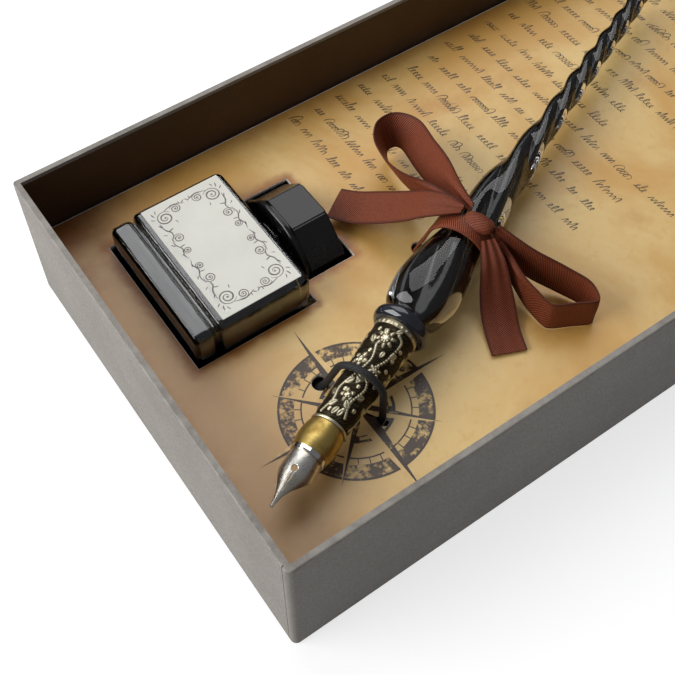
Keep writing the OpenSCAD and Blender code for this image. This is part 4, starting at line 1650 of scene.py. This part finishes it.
@dataclass
class DipPen:
    """The dip pen: nib, ring, dome, relief barrel, smoked collar and twisted glass handle."""

    place: PenPlace = field(default_factory=PenPlace)
    handle_s: float = 57.1
    core_share: float = 0.50
    core_lobe: float = 0.30
    core_aside: float = 0.10
    flutes: int = 3
    sides: int = 96
    barrel_s: tuple[float, float] = (22.8, 53.0)
    barrel_r: tuple[float, float] = (4.7, 5.8)
    nib_rows: tuple[tuple[float, float, float, float], ...] = (
        (19, 3.9, 100, 3.9), (14, 3.9, 100, 3.9), (12, 4, 98, 3.75), (10, 4.1, 85, 3.3),
        (8.7, 4, 70, 2.9), (7, 3.3, 60, 2.35), (5.5, 2.4, 52, 1.9), (4, 1.7, 45, 1.45),
        (2.8, 1.2, 40, 1.1), (1.6, 0.9, 38, 0.75), (0.4, 0.7, 30, 0.5),
    )
    outline: tuple[tuple[float, float], ...] = (
        (0, 5.6), (1.2, 5.8), (3.6, 7.5), (9, 8.65), (14, 8.55), (21, 7.75), (28, 6.95), (36, 6.45),
        (45, 5.9), (55, 5.25), (66, 4.05), (80, 3.36),
    )
    nib_across: int = 42
    nib_t: float = 0.3
    hole_s: float = 9.6
    hole_r: float = 0.75
    slit_half: float = 0.09
    relief: float = 0.42
    round_steps: int = 300
    long_steps: int = 260
    shaft_r: float = 3.0
    tail_s: float = 202.0
    twist_rate: float = 12.0
    twist_start: float = 23.0

    def nib(self) -> None:
        """Builds the nib: a rolled sheet with its breather hole and slit."""
        rows = smoothed([list(r) for r in self.nib_rows], 6)

        def sheet(grow: float) -> Points:
            """Gives the nib's skin at a height off its middle."""
            out = []
            for s, r, half, crown in rows:
                a = np.radians(np.linspace(-half, half, self.nib_across + 1))
                rr = r + grow
                out.append([(s, rr * math.sin(t), crown - r + rr * math.cos(t)) for t in a])
            return np.array(out)

        top, low = sheet(0.0), sheet(-self.nib_t)
        n_rows, n_cols = top.shape[:2]
        points = self.place.points(np.concatenate([top.reshape(-1, 3), low.reshape(-1, 3)]))
        faces = []
        base = n_rows * n_cols
        for i in range(n_rows - 1):
            for j in range(n_cols - 1):
                a, b = i * n_cols + j, (i + 1) * n_cols + j
                faces.append((a, a + 1, b + 1, b))
                faces.append((base + b, base + b + 1, base + a + 1, base + a))
        rim = rim_walk(n_rows, n_cols)
        for k in range(len(rim)):
            (i0, j0), (i1, j1) = rim[k], rim[(k + 1) % len(rim)]
            a, b = i0 * n_cols + j0, i1 * n_cols + j1
            faces.append((a, b, base + b, base + a))
        piece = outward(mesh_piece("nib_blade", points, faces, NibSteel().make()))
        hole = self._drill_tool()
        cut = piece.modifiers.new("slit", "BOOLEAN")
        cut.operation, cut.object, cut.solver = "DIFFERENCE", hole, "EXACT"
        apply_modifiers(piece)
        bpy.data.objects.remove(hole)
        settle(piece, "nib", Slot.NIB, "steel_nib")

    def _drill_tool(self) -> bpy.types.Object:
        """Makes the shape that cuts the breather hole and the slit.

        Returns:
            The cutting shape.
        """
        hole_s, hole_r, slit = self.hole_s, self.hole_r, self.slit_half
        mouth = math.asin(slit / hole_r)
        angle = [mouth + math.pi - t for t in np.linspace(0, 2 * math.pi - 2 * mouth, 33)]
        plan = [(hole_s + hole_r * math.cos(a), hole_r * math.sin(a)) for a in angle]
        plan += [(-1.0, -slit), (-1.0, slit)] if plan[-1][1] < 0 else [(-1.0, slit), (-1.0, -slit)]
        rings = np.array([[(x, y, z) for x, y in plan] for z in (-2.0, 6.0)])
        n = len(plan)
        faces = [(i, (i + 1) % n, n + (i + 1) % n, n + i) for i in range(n)]
        faces += [tuple(reversed(range(n))), tuple(range(n, 2 * n))]
        made = mesh_piece("slit_tool", self.place.points(rings.reshape(-1, 3)), faces,
                          bpy.data.materials["nib_steel"], False)
        return outward(made)

    def section(self) -> None:
        """Dresses the ring, the plug and the brass dome."""
        chrome = TurnedMetal("bright_ring", tone(226, 225, 222), tone(190, 186, 176), 0.06, 0.16, 0.2)
        node_dress(chrome.make(), "nib_ring")
        plug = Grained("plug_plastic", tone(22, 22, 22), tone(32, 31, 30), 200, 1800, 0.00002, 0.4, 0.55)
        node_dress(plug.make(), "nib_plug")
        brass = TurnedMetal("aged_brass", tone(206, 178, 104), tone(152, 122, 62), 0.32, 0.48, 0.7)
        node_dress(brass.make(), "nib_section")

    def _relief(self, s: Points, turn: Points) -> Points:
        """Height of the barrel's relief.

        Args:
            s: Stations in millimetres.
            turn: Angles round the pen in radians, from across towards up.

        Returns:
            Heights, 0 to 1.
        """
        deg = np.degrees(turn)
        height = 0.10 + 0.05 * np.sin(s * 9.1 + np.sin(turn * 11) * 2) * np.sin(turn * 23 + s * 3.1)
        radius = np.interp(s, self.barrel_s, self.barrel_r)

        def near(s0: float, d0: float) -> tuple[Points, Points]:
            """Gives the place in millimetres from a middle, along and round."""
            off = (deg - d0 + 180) % 360 - 180
            return s - s0, np.radians(off) * radius

        def bud(s0: float, d0: float, size: float, level: float) -> None:
            """Adds a round stud."""
            nonlocal height
            x, y = near(s0, d0)
            d = np.hypot(x, y) / size
            height = np.maximum(height, level * np.clip(1 - d ** 2.4, 0, 1) ** 0.5)

        def rosette(s0: float, d0: float, size: float, petals: int, twist: float) -> None:
            """Adds a flower with pointed petals round a beaded heart."""
            nonlocal height
            x, y = near(s0, d0)
            d, a = np.hypot(x, y), np.arctan2(y, x) + twist
            lobe = 0.5 + 0.5 * np.cos(petals * a)
            edge = size * (0.62 + 0.38 * lobe)
            petal = np.clip(1 - (d / edge) ** 3, 0, 1) * (0.45 + 0.55 * lobe ** 0.7)
            groove = 1 - 0.75 * np.exp(-((d / size - 0.42) / 0.07) ** 2)
            height = np.maximum(height, 0.95 * petal * groove)
            height = np.maximum(height, np.clip(1 - (d / (size * 0.30)) ** 4, 0, 1) * 0.9)

        def vine(points: list[tuple[float, float]], width: float, level: float) -> None:
            """Adds a curved stem through stations and angles."""
            nonlocal height
            path = smoothed([list(p) for p in points], 7)
            best = np.full(s.shape, 99.0)
            for s0, d0 in path:
                x, y = near(float(s0), float(d0))
                best = np.minimum(best, np.hypot(x, y))
            height = np.maximum(height, level * np.clip(1 - (best / width) ** 2, 0, 1) ** 0.5)

        def leaf(s0: float, d0: float, size: float, aim: float) -> None:
            """Adds a ribbed leaf."""
            nonlocal height
            x, y = near(s0, d0)
            u = x * math.cos(aim) + y * math.sin(aim)
            v = -x * math.sin(aim) + y * math.cos(aim)
            t = np.clip(u / size, 0, 1)
            half = 0.36 * size * np.sin(np.pi * t) ** 0.75 + 1e-6
            inside = np.clip(1 - (v / half) ** 2, 0, 1) * (u > 0) * (u < size)
            rib = 1 - 0.55 * np.exp(-(v / (0.07 * size)) ** 2)
            height = np.maximum(height, 0.85 * inside ** 0.6 * rib)

        for turn0 in (0, 120, 240):
            rosette(47.6, 91 + turn0, 3.1, 8, 0.3)
            rosette(40.2, 62 + turn0, 2.5, 5, 0.9)
            rosette(39.0, 118 + turn0, 2.0, 6, 0.0)
            rosette(30.5, 96 + turn0, 2.1, 5, 0.5)
            for stem, width, level in (
                (((24.5, 52), (28, 66), (31.5, 60), (36, 78), (41, 92), (45, 80)), 0.42, 0.8),
                (((25.5, 130), (29, 116), (34, 128), (38, 108), (43, 128), (48.5, 134), (50, 116)),
                 0.40, 0.75),
            ):
                vine([(s0, d0 + turn0) for s0, d0 in stem], width, level)
            for s0, d0, size, aim in (
                (26.5, 58, 2.6, 0.9), (29.5, 63, 2.4, -0.9), (33.0, 66, 2.8, 0.7),
                (36.0, 84, 2.6, 1.9), (27.5, 122, 2.5, -0.8), (31.0, 121, 2.4, 0.9),
                (35.5, 122, 2.7, -0.6), (44.0, 128, 2.4, 0.7), (45.5, 66, 2.6, -0.5),
                (50.0, 76, 2.0, 2.4), (50.0, 106, 2.0, 0.7), (42.5, 108, 2.0, 0.1),
                (34.0, 96, 2.2, 0.2), (24.6, 88, 2.4, 0.3), (24.8, 106, 2.2, 0.2),
            ):
                leaf(s0, d0 + turn0, size, aim)
            for s0, d0 in (
                (25.6, 74), (33.6, 108), (37.0, 58), (43.2, 74), (44.0, 142), (49.6, 60),
                (28.3, 140), (36.2, 146), (47.2, 146), (41.0, 146), (31.6, 80), (26.8, 112),
            ):
                bud(s0, d0 + turn0, 0.62, 0.85)
        beads = np.clip(np.cos((turn * 26)), 0, 1)
        band = np.clip(1 - ((s - 52.1) / 0.42) ** 2, 0, 1) ** 0.5
        height = np.where(s > 51.5, 0.35 + 0.6 * band * (0.4 + 0.6 * beads), height)
        height = np.where(s < 23.6, 0.85 * np.clip(1 - ((s - 23.2) / 0.42) ** 2, 0, 1) ** 0.5, height)
        return np.clip(height, 0, 1)

    def barrel(self) -> None:
        """Builds the bronze barrel with its cast relief of flowers and leaves."""
        s = np.linspace(*self.barrel_s, self.long_steps)
        turn = np.linspace(0, 2 * math.pi, self.round_steps, endpoint=False)
        grid_s, grid_t = np.meshgrid(s, turn, indexing="ij")
        height = self._relief(grid_s, grid_t)
        radius = np.interp(grid_s, self.barrel_s, self.barrel_r) - self.relief * (1 - height)
        rings = np.stack([grid_s, radius * np.cos(grid_t), radius * np.sin(grid_t)], axis=-1)
        piece = loft("barrel_relief", self.place.points(rings), Bronze().make())
        layer = piece.data.attributes.new("relief", "FLOAT", "POINT")
        layer.data.foreach_set("value", height.ravel().astype(float))
        settle(piece, "pen", Slot.BRONZE, "pen_barrel")

    def collar(self) -> None:
        """Dresses the smoked glass collar."""
        g = Graph("smoke_glass")
        place = g.space()
        swell = g.noise(place, 120.0, 2.0)
        smoke = g.dress(
            Base_Color=g.mix(g.fade(swell, 0.3, 0.7), tone(52, 56, 66), tone(36, 39, 47)),
            Roughness=g.fade(g.noise(place, 400.0), 0.3, 0.7, 0.03, 0.08),
            Transmission_Weight=0.35,
            IOR=1.5,
            Coat_Weight=0.6,
            Normal=g.bump(swell, 0.1, 0.0003),
        )
        node_dress(smoke, "glass_collar")
        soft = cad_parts["glass_collar"].modifiers
        weld = soft.new("weld", "WELD")
        weld.merge_threshold = 1e-6
        rim = soft.new("rim", "BEVEL")
        rim.width, rim.segments, rim.limit_method = 0.0006, 3, "ANGLE"

    def _twist(self) -> tuple[Points, Points, Points, Points]:
        """Gives the handle's stations, radii, flute depths and turns in radians."""
        h, tail = self.handle_s, self.tail_s
        rows = [[h + s, r] for s, r in self.outline]
        for s in np.arange(h + 92, tail + 0.1, 9.0):
            t = (s - h - 80) / (tail - h - 80)
            rows.append([s, self.shaft_r * (1.12 - 0.22 * t)])
        end = self.shaft_r * 0.9
        rows.append([tail, end])
        rows += [[203.2, end * 0.84], [204.1, end * 0.66], [204.76, end * 0.4], [205.0, end * 0.12]]
        shape = np.array(rows)
        s = np.concatenate([np.arange(h, tail, 0.45), np.linspace(tail, 205.0, 14)])
        dense = smoothed([list(r) for r in shape], 12)
        r = np.interp(s, dense[:, 0], dense[:, 1])
        depth = np.interp(s, [h + 5, h + 14, h + 30, h + 60, tail, 205], [0, 0.02, 0.05, 0.12, 0.14, 0])
        rate = np.interp(s, [h, h + 33, h + 50, h + 60, h + 77, h + 91, h + 103],
                         [0.25, 0.30, 0.38, 0.49, 0.67, 0.87, 1.0]) * self.twist_rate
        turn = np.concatenate([[0], np.cumsum((rate[1:] + rate[:-1]) / 2 * np.diff(s))])
        return s, r, depth, np.radians(turn + self.twist_start)

    def handle(self) -> None:
        """Builds the clear handle and the black core that stands in it."""
        s, r, depth, turn = self._twist()
        a = np.linspace(0, 2 * math.pi, self.sides, endpoint=False)
        swing = np.cos(self.flutes * (a[None, :] - turn[:, None]))
        share = (depth / (1 - depth))[:, None]
        width = (r * (1 - depth))[:, None] * (1 + share * swing)
        along = np.repeat(s[:, None], self.sides, axis=1)
        rings = np.stack([along, width * np.sin(a), width * np.cos(a)], axis=-1)
        glass = loft("handle_glass", self.place.points(rings), HandleGlass().make())
        settle(glass, "pen", Slot.GLASS, "glass_handle")
        core_r = (r * self.core_share)[:, None] * (1 + self.core_lobe * swing)
        aside = (r * self.core_aside)[:, None]
        core = np.stack([along, core_r * np.sin(a) + aside, core_r * np.cos(a)], axis=-1)
        core = core[s < self.tail_s - 0.5]
        core[0, :, 0] += 0.05
        black = Grained("black_glass", tone(10, 9, 9), tone(16, 14, 13), 120, 700, 0.00001, 0.08, 0.16)
        piece = loft("handle_core", self.place.points(core), black.make())
        settle(piece, "pen", Slot.CORE, "glass_core")

    def build(self) -> None:
        """Builds the pen from nib to tail."""
        self.nib()
        self.section()
        self.barrel()
        self.collar()
        self.handle()


def apply_modifiers(piece: bpy.types.Object) -> None:
    """Bakes a piece's modifiers into its mesh.

    Args:
        piece: The piece.
    """
    bpy.context.view_layer.update()
    ready = piece.evaluated_get(bpy.context.evaluated_depsgraph_get())
    baked = bpy.data.meshes.new_from_object(ready)
    piece.modifiers.clear()
    piece.data = baked


# Elastic and ribbon


@dataclass
class ElasticLoop:
    """The round braided elastic that goes up through one hole, over the barrel and down the other."""

    place: PenPlace = field(default_factory=PenPlace)
    station: float = 36.5
    pen_h: float = 8.9
    arch_r: float = 6.40
    radius: float = 0.9
    near_leg: float = 6.4
    far_leg: float = 9.85
    knot_z: float = -12.5
    knot_r: float = 2.6

    def _path(self) -> Points:
        """Gives the elastic's middle line: across, up."""
        touch = (math.acos(self.arch_r / math.hypot(self.far_leg, self.pen_h))
                 - math.atan2(self.pen_h, self.far_leg))
        out = [(-self.near_leg, z) for z in np.linspace(self.knot_z, 0, 24, endpoint=False)]
        out += [(-self.arch_r * math.cos(t), self.arch_r * math.sin(t))
                for t in np.linspace(0, math.pi - touch, 60)]
        start = out[-1]
        end = (self.far_leg, -self.pen_h)
        out += [(start[0] + (end[0] - start[0]) * t, start[1] + (end[1] - start[1]) * t)
                for t in np.linspace(0, 1, 22)[1:]]
        out += [(self.far_leg + 0.3, z) for z in np.linspace(-self.pen_h - 0.6, self.knot_z, 8)]
        return np.array(out)

    def build(self) -> None:
        """Builds the elastic as one braided tube with a knot at each end."""
        path = self._path()
        run = np.gradient(path, axis=0)
        run /= np.linalg.norm(run, axis=1, keepdims=True)
        length = np.concatenate([[0], np.cumsum(np.linalg.norm(np.diff(path, axis=0), axis=1))])
        count = 28
        angle = np.linspace(0, 2 * math.pi, count, endpoint=False)
        rings = np.empty((len(path), count, 3))
        for i, (y, z) in enumerate(path):
            side = np.array([-run[i, 1], run[i, 0]])
            edge = min(length[i], length[-1] - length[i])
            swell = max(0.0, 1 - (edge / self.knot_r) ** 2) ** 0.5 * (self.knot_r - self.radius)
            r = self.radius + swell * (0.9 if edge > 0.3 else 0.6)
            rings[i, :, 0] = self.station + r * np.cos(angle)
            rings[i, :, 1] = y + side[0] * r * np.sin(angle)
            rings[i, :, 2] = z + side[1] * r * np.sin(angle)
        rows = len(path)
        faces = loft_faces(rows, count)
        uv = []
        around = 2 * math.pi * self.radius * MM
        for i in range(rows - 1):
            for j in range(count):
                u0, u1 = around * j / count, around * (j + 1) / count
                v0, v1 = length[i] * MM, length[i + 1] * MM
                uv += [(u0, v0), (u1, v0), (u1, v1), (u0, v1)]
        uv += [(0.0, 0.0)] * (2 * count)
        points = self.place.points(rings.reshape(-1, 3))
        piece = mesh_piece("elastic_cord", points, faces, Braid().make(), True, np.array(uv))
        settle(piece, "insert", Slot.ELASTIC, "elastic_loop")


@dataclass
class RibbonBow:
    """The ribbon: run under the card, band over the pen, knot, two loops and two tails."""

    place: PenPlace = field(default_factory=PenPlace)
    origin: tuple[float, float, float] = (-0.03898, -0.01187, 0.0227)
    width: float = 10.0
    thick: float = 0.35
    ribbon_s: float = 84.4
    band_s: float = 84.4
    band_r: float = 7.78
    band_feet: tuple[float, float] = (11.4, 12.8)
    band_foot_z: float = 8.55
    band_half: float = 2.45
    band_bend: float = 0.23
    run_z: float = -10.08
    knot_at: tuple[float, float, float] = (3.6, -1.8, 17.0)
    knot_size: tuple[float, float, float] = (4.1, 2.6, 1.9)
    knot_turn: float = -72.0
    left_tail: tuple[tuple[float, ...], ...] = (
        (2.4, 3.4, 18, 1, 0.1, -0.1, 0.4), (0.2, 7, 17.3, 0.9, 0.5, 0, 0.7),
        (-2.4, 11.5, 15.2, 0.8, 0.6, 0, 0.9), (-5, 17, 10.8, 0.8, 0.6, 0.1, 1),
        (-9, 23.5, 6.6, 0.75, 0.65, 0.15, 1), (-12.2, 28.6, 4, 0.7, 0.7, 0.1, 1),
        (-15.2, 33.6, 3, 0.6, 0.8, 0, 1),
    )
    front_tail: tuple[tuple[float, ...], ...] = (
        (2.6, -6.4, 15.8, 0.9, -0.2, 0.3, 0.35), (1.2, -10.6, 12.6, 1, -0.2, 0.3, 0.6),
        (-0.4, -14.5, 7.4, 1, -0.3, 0.2, 0.8), (-2, -18.2, 3.4, 1, -0.35, 0.1, 0.9),
        (-4, -22.5, 1.3, 1, -0.35, 0, 0.9), (-6.4, -28.2, 0.8, 1, -0.35, 0, 0.9),
    )
    left_loop: tuple[tuple[float, ...], ...] = (
        (5, 2.8, 17.3, 0.3, 0, 1, 0.35), (5.8, 8.5, 16.2, 0.4, 0, 0.9, 0.55),
        (7.8, 18, 13.2, 0.5, 0, 0.85, 0.95), (10.4, 28, 10.4, 0.5, -0.1, 0.85, 1),
        (12.6, 37, 8.8, 0.5, -0.1, 0.85, 1), (11, 42, 7.6, 0.3, 0.3, 0.9, 1),
        (7, 42.4, 7, 0, 0.4, 0.9, 1), (3.8, 38.4, 6.8, -0.3, 0.3, 0.9, 1),
        (2, 31, 7.4, -0.4, 0.1, 0.9, 1), (1.6, 23, 9.2, -0.3, 0, 0.95, 0.9),
        (2.3, 14, 12.8, 0.1, 0, 1, 0.65), (3.6, 6.4, 15.6, 0.2, 0, 1, 0.3),
    )
    right_loop: tuple[tuple[float, ...], ...] = (
        (6, -5.2, 16.4, 0.1, 0.2, 1, 0.35), (8, -9.5, 12.8, 0.1, 0.1, 1, 0.65),
        (10.8, -14.5, 9, 0.1, 0.1, 1, 0.9), (15, -21, 6.3, 0.1, 0, 1, 1),
        (17.6, -27.5, 5.6, 0.05, 0, 1, 1), (16.9, -32, 5.5, 0, 0, 1, 1),
        (15.2, -32.9, 5.5, 0, 0, 1, 1), (10.8, -30.6, 5.5, 0, 0, 1, 1),
        (6.8, -28.4, 5.5, 0, 0, 1, 1), (5.6, -26.6, 5.6, 0, 0, 1, 1),
        (5.4, -22, 6.2, 0, 0, 1, 1), (5.3, -16.4, 8, 0, 0, 1, 0.8),
        (5.4, -11.4, 11, 0.1, 0, 1, 0.5), (5, -7.6, 14, 0.1, 0, 1, 0.3),
    )

    def _strip(
        self,
        name: str,
        line: tuple[tuple[float, ...], ...],
        material: bpy.types.Material,
        folds: float,
        seed: int,
        body: str,
        node: str,
    ) -> None:
        """Builds one strip of ribbon with soft pleats where it narrows to the knot.

        Args:
            name: The piece's name.
            line: Middle line, width direction and share of the width.
            material: The weave.
            folds: Depth of the pleats in millimetres.
            seed: Seed of the small waves.
            body: The body that it rides on.
            node: The node that it replaces.
        """
        rng = np.random.default_rng(seed)
        rows = smoothed([list(r) for r in line], 9)
        p, wide, share = rows[:, :3], rows[:, 3:6], np.clip(rows[:, 6], 0.2, 1.0)
        run = np.gradient(p, axis=0)
        run /= np.linalg.norm(run, axis=1, keepdims=True)
        side = wide - np.sum(wide * run, axis=1, keepdims=True) * run
        side /= np.linalg.norm(side, axis=1, keepdims=True)
        up = np.cross(run, side)
        along = np.concatenate([[0], np.cumsum(np.linalg.norm(np.diff(p, axis=0), axis=1))])
        cols = 25
        t = np.linspace(-0.5, 0.5, cols)
        phase = rng.uniform(0, 2 * math.pi, 3)
        squeeze = (1 - share)[:, None]
        pleat = np.sin(2 * math.pi * 2.5 * t[None, :] + phase[0])
        pleat = folds * np.minimum(squeeze * 2.2, 1) * pleat
        wave = 0.10 * np.sin(2 * math.pi * t[None, :] * 0.9 + along[:, None] * 0.23 + phase[1])
        ripple = 0.05 * np.sin(along[:, None] * 1.1 + phase[2]) * np.cos(math.pi * t[None, :])
        lift = pleat + (wave + ripple) * share[:, None]
        skin = []
        for level in (-self.thick / 2, self.thick / 2):
            across = (t[None, :] * share[:, None] * self.width)[..., None]
            skin.append(p[:, None, :] + side[:, None, :] * across
                        + up[:, None, :] * (lift + level)[..., None])
        self._sheet(self._cloth(name, np.array(skin), along, material), body, node)

    def _sheet(
        self, piece: bpy.types.Object, body: str, node: str
    ) -> None:
        """Args:
            piece: The strip.
            body: The body that it rides on.
            node: The node that it replaces.
        """
        settle(piece, body, Slot.RIBBON, node)

    def underlay(self, weave: bpy.types.Material) -> None:
        """Builds the ribbon's run under the card, with its two ends gathered up through the holes.

        Args:
            weave: The ribbon's material.
        """
        s, low = self.ribbon_s, self.run_z
        rows = [(s, -12.9, -8.95, 0.28), (s, -12.8, -9.6, 0.3), (s, -11.8, low, 0.5), (s, -8.5, low, 0.9),
                (s, -4, low, 1), (s, 0, low, 1), (s, 4, low, 1), (s, 7.2, low, 0.9), (s, 10.4, low, 0.5),
                (s, 11.4, -9.6, 0.3), (s, 11.5, -8.95, 0.28)]
        at = (self.place.points(np.array([row[:3] for row in rows])) - np.asarray(self.origin)) / MM
        aim = (math.cos(self.place.yaw), math.sin(self.place.yaw), 0.0)
        line = tuple((*map(float, point), *aim, row[3]) for point, row in zip(at, rows))
        self._strip("ribbon_run", line, weave, 0.22, 5, "insert", "ribbon_underlay")

    def band(self, weave: bpy.types.Material) -> None:
        """Builds the band over the handle: the ribbon folded once along its middle.

        Args:
            weave: The ribbon's material.
        """
        inner, lift = self.band_r, self.thick / 2 + 0.04
        ends = []
        for foot in self.band_feet:
            reach = math.acos(inner / math.hypot(foot, self.band_foot_z))
            ends.append(reach - math.atan2(self.band_foot_z, foot))
        arc = np.linspace(ends[0], math.pi - ends[1], 60)
        arch = inner * np.stack([np.cos(arc), np.sin(arc)], axis=1)
        t = np.linspace(0, 1, 24)[:, None]
        near = np.array((self.band_feet[0], -self.band_foot_z))
        far = np.array((-self.band_feet[1], -self.band_foot_z))
        path = np.concatenate([(near * (1 - t) + arch[0] * t)[:-1], arch,
                               (arch[-1] * (1 - t) + far * t)[1:]])
        run = np.gradient(path, axis=0)
        run /= np.linalg.norm(run, axis=1, keepdims=True)
        out = np.stack([run[:, 1], -run[:, 0]], axis=1)
        along = np.concatenate([[0], np.cumsum(np.linalg.norm(np.diff(path, axis=0), axis=1))])
        half, bend = self.band_half, self.band_bend
        flat = np.linspace(half, -half + bend, 11)
        turn = np.linspace(0, math.pi, 7)[1:-1]
        fold = [(a, 0.0) for a in flat]
        fold += [(-half + bend - bend * math.sin(t), bend * (1 - math.cos(t))) for t in turn]
        fold = np.array(fold + [(a, 2 * bend) for a in flat[::-1]])
        slope = np.gradient(fold, axis=0)
        slope /= np.linalg.norm(slope, axis=1, keepdims=True)
        skin = []
        for level in (-self.thick / 2, self.thick / 2):
            across = fold[:, 0] - slope[:, 1] * level
            above = fold[:, 1] + slope[:, 0] * level
            ripple = 0.03 * np.sin(along[:, None] * 0.9 + fold[None, :, 0])
            rise = lift + above[None, :] + ripple
            s = np.repeat((self.band_s + across)[None, :], len(path), axis=0)
            y = path[:, None, 0] + out[:, None, 0] * rise
            z = path[:, None, 1] + out[:, None, 1] * rise
            local = np.stack([s, y, z], axis=-1)
            world = self.place.points(local.reshape(-1, 3)).reshape(local.shape)
            skin.append((world - np.asarray(self.origin)) / MM)
        piece = self._cloth("ribbon_over_handle", np.array(skin), along, weave)
        self._sheet(outward(piece), "bow", "ribbon_band")

    def _cloth(
        self, name: str, skin: Points, along: Points, material: bpy.types.Material
    ) -> bpy.types.Object:
        """Closes two skins into one strip with a UV map in metres.

        Args:
            name: The piece's name.
            skin: Lower and upper skin: rows, columns, coordinates in millimetres of the bow's frame.
            along: Length along the strip at each row.
            material: The weave.

        Returns:
            The object.
        """
        _, n, cols, _ = skin.shape
        points = np.asarray(self.origin) + skin.reshape(-1, 3) * MM
        faces, uv = [], []
        base = n * cols
        u = (np.linspace(-0.5, 0.5, cols) * self.width) * MM
        v = along * MM
        for i in range(n - 1):
            for j in range(cols - 1):
                a, b = i * cols + j, (i + 1) * cols + j
                spot = [(u[j], v[i]), (u[j + 1], v[i]), (u[j + 1], v[i + 1]), (u[j], v[i + 1])]
                faces.append((base + a, base + a + 1, base + b + 1, base + b))
                uv += spot
                faces.append((a, b, b + 1, a + 1))
                uv += [spot[0], spot[3], spot[2], spot[1]]
        rim = rim_walk(n, cols)
        for k in range(len(rim)):
            (i0, j0), (i1, j1) = rim[k], rim[(k + 1) % len(rim)]
            a, b = i0 * cols + j0, i1 * cols + j1
            faces.append((a, b, base + b, base + a))
            uv += [(u[j0], v[i0]), (u[j1], v[i1]), (u[j1], v[i1]), (u[j0], v[i0])]
        piece = mesh_piece(name, points, faces, material, True, np.array(uv))
        piece.data.set_sharp_from_angle(angle=math.radians(60))
        return piece

    def strips(self, weave: bpy.types.Material) -> None:
        """Builds loops and tails, each a sheet of its own.

        Args:
            weave: The ribbon's material.
        """
        for name, node, line, folds, seed in (
            ("ribbon_loop_left", "ribbon_left_loop", self.left_loop, 0.30, 1),
            ("ribbon_loop_right", "ribbon_right_loop", self.right_loop, 0.30, 2),
            ("ribbon_tail_left", "ribbon_left_tail", self.left_tail, 0.28, 3),
            ("ribbon_tail_front", "ribbon_front_tail", self.front_tail, 0.28, 4),
        ):
            self._strip(name, line, weave, folds, seed, "bow", node)

    def knot(self, weave: bpy.types.Material) -> None:
        """Builds the knot: a soft wrapped bud with creases running round it."""
        count, rows_n = 64, 44
        a = np.linspace(0, 2 * math.pi, count, endpoint=False)
        b = np.linspace(0.04, math.pi - 0.04, rows_n)
        c, s = math.cos(math.radians(self.knot_turn)), math.sin(math.radians(self.knot_turn))
        long, wide, high = self.knot_size
        rings, uv_rows = [], []
        for t in b:
            x = long * math.cos(t)
            squash = 1 + 0.05 * np.sin(a * 3 + t * 2)
            crease = 1 - 0.07 * np.exp(-((np.sin(a * 1.5 + 0.6 * x) / 0.25) ** 2))
            r = math.sin(t) ** 0.8 * squash * crease
            y, z = wide * r * np.cos(a), high * r * np.sin(a)
            rings.append(np.stack([c * x - s * y, s * x + c * y, z], axis=1) + self.knot_at)
            uv_rows.append(x)
        rings = np.array(rings)
        points = np.asarray(self.origin) + rings.reshape(-1, 3) * MM
        faces = loft_faces(rows_n, count)
        uv = []
        for i in range(rows_n - 1):
            for j in range(count):
                v0, v1 = 16 * MM * j / count, 16 * MM * (j + 1) / count
                u0, u1 = uv_rows[i] * MM * 0.85, uv_rows[i + 1] * MM * 0.85
                uv += [(u0, v0), (u0, v1), (u1, v1), (u1, v0)]
        uv += [(0.0, 0.0)] * (2 * count)
        piece = mesh_piece("ribbon_knot_wrap", points, faces, weave, True, np.array(uv))
        settle(outward(piece), "bow", Slot.RIBBON, "ribbon_knot")

    def build(self) -> None:
        """Builds the whole ribbon."""
        weave = RibbonWeave().make()
        self.strips(weave)
        self.knot(weave)
        self.band(weave)
        self.underlay(weave)


# Main


def write_sizes(before: object, after: object) -> None:
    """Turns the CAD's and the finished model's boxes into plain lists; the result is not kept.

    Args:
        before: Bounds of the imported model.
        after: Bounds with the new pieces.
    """
    def plain(value: object) -> object:
        """Turns vectors and tuples to lists."""
        if isinstance(value, dict):
            return {key: plain(item) for key, item in value.items()}
        if isinstance(value, (int, float, str)):
            return value
        return [plain(item) for item in value]

    {"cad": plain(before), "visual": plain(after)}


def main() -> None:
    """Builds the set in order."""
    logging.basicConfig(level=logging.INFO, format="%(message)s", stream=sys.stdout)
    Studio().build()
    for part in (BoxTray(), PrintedCard(), InkBottle(), DipPen(), ElasticLoop(), RibbonBow()):
        part.build()
        LOG.info("finished %s", type(part).__name__)
    write_sizes(CAD_BOX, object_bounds())


if __name__ == "__main__":
    main()
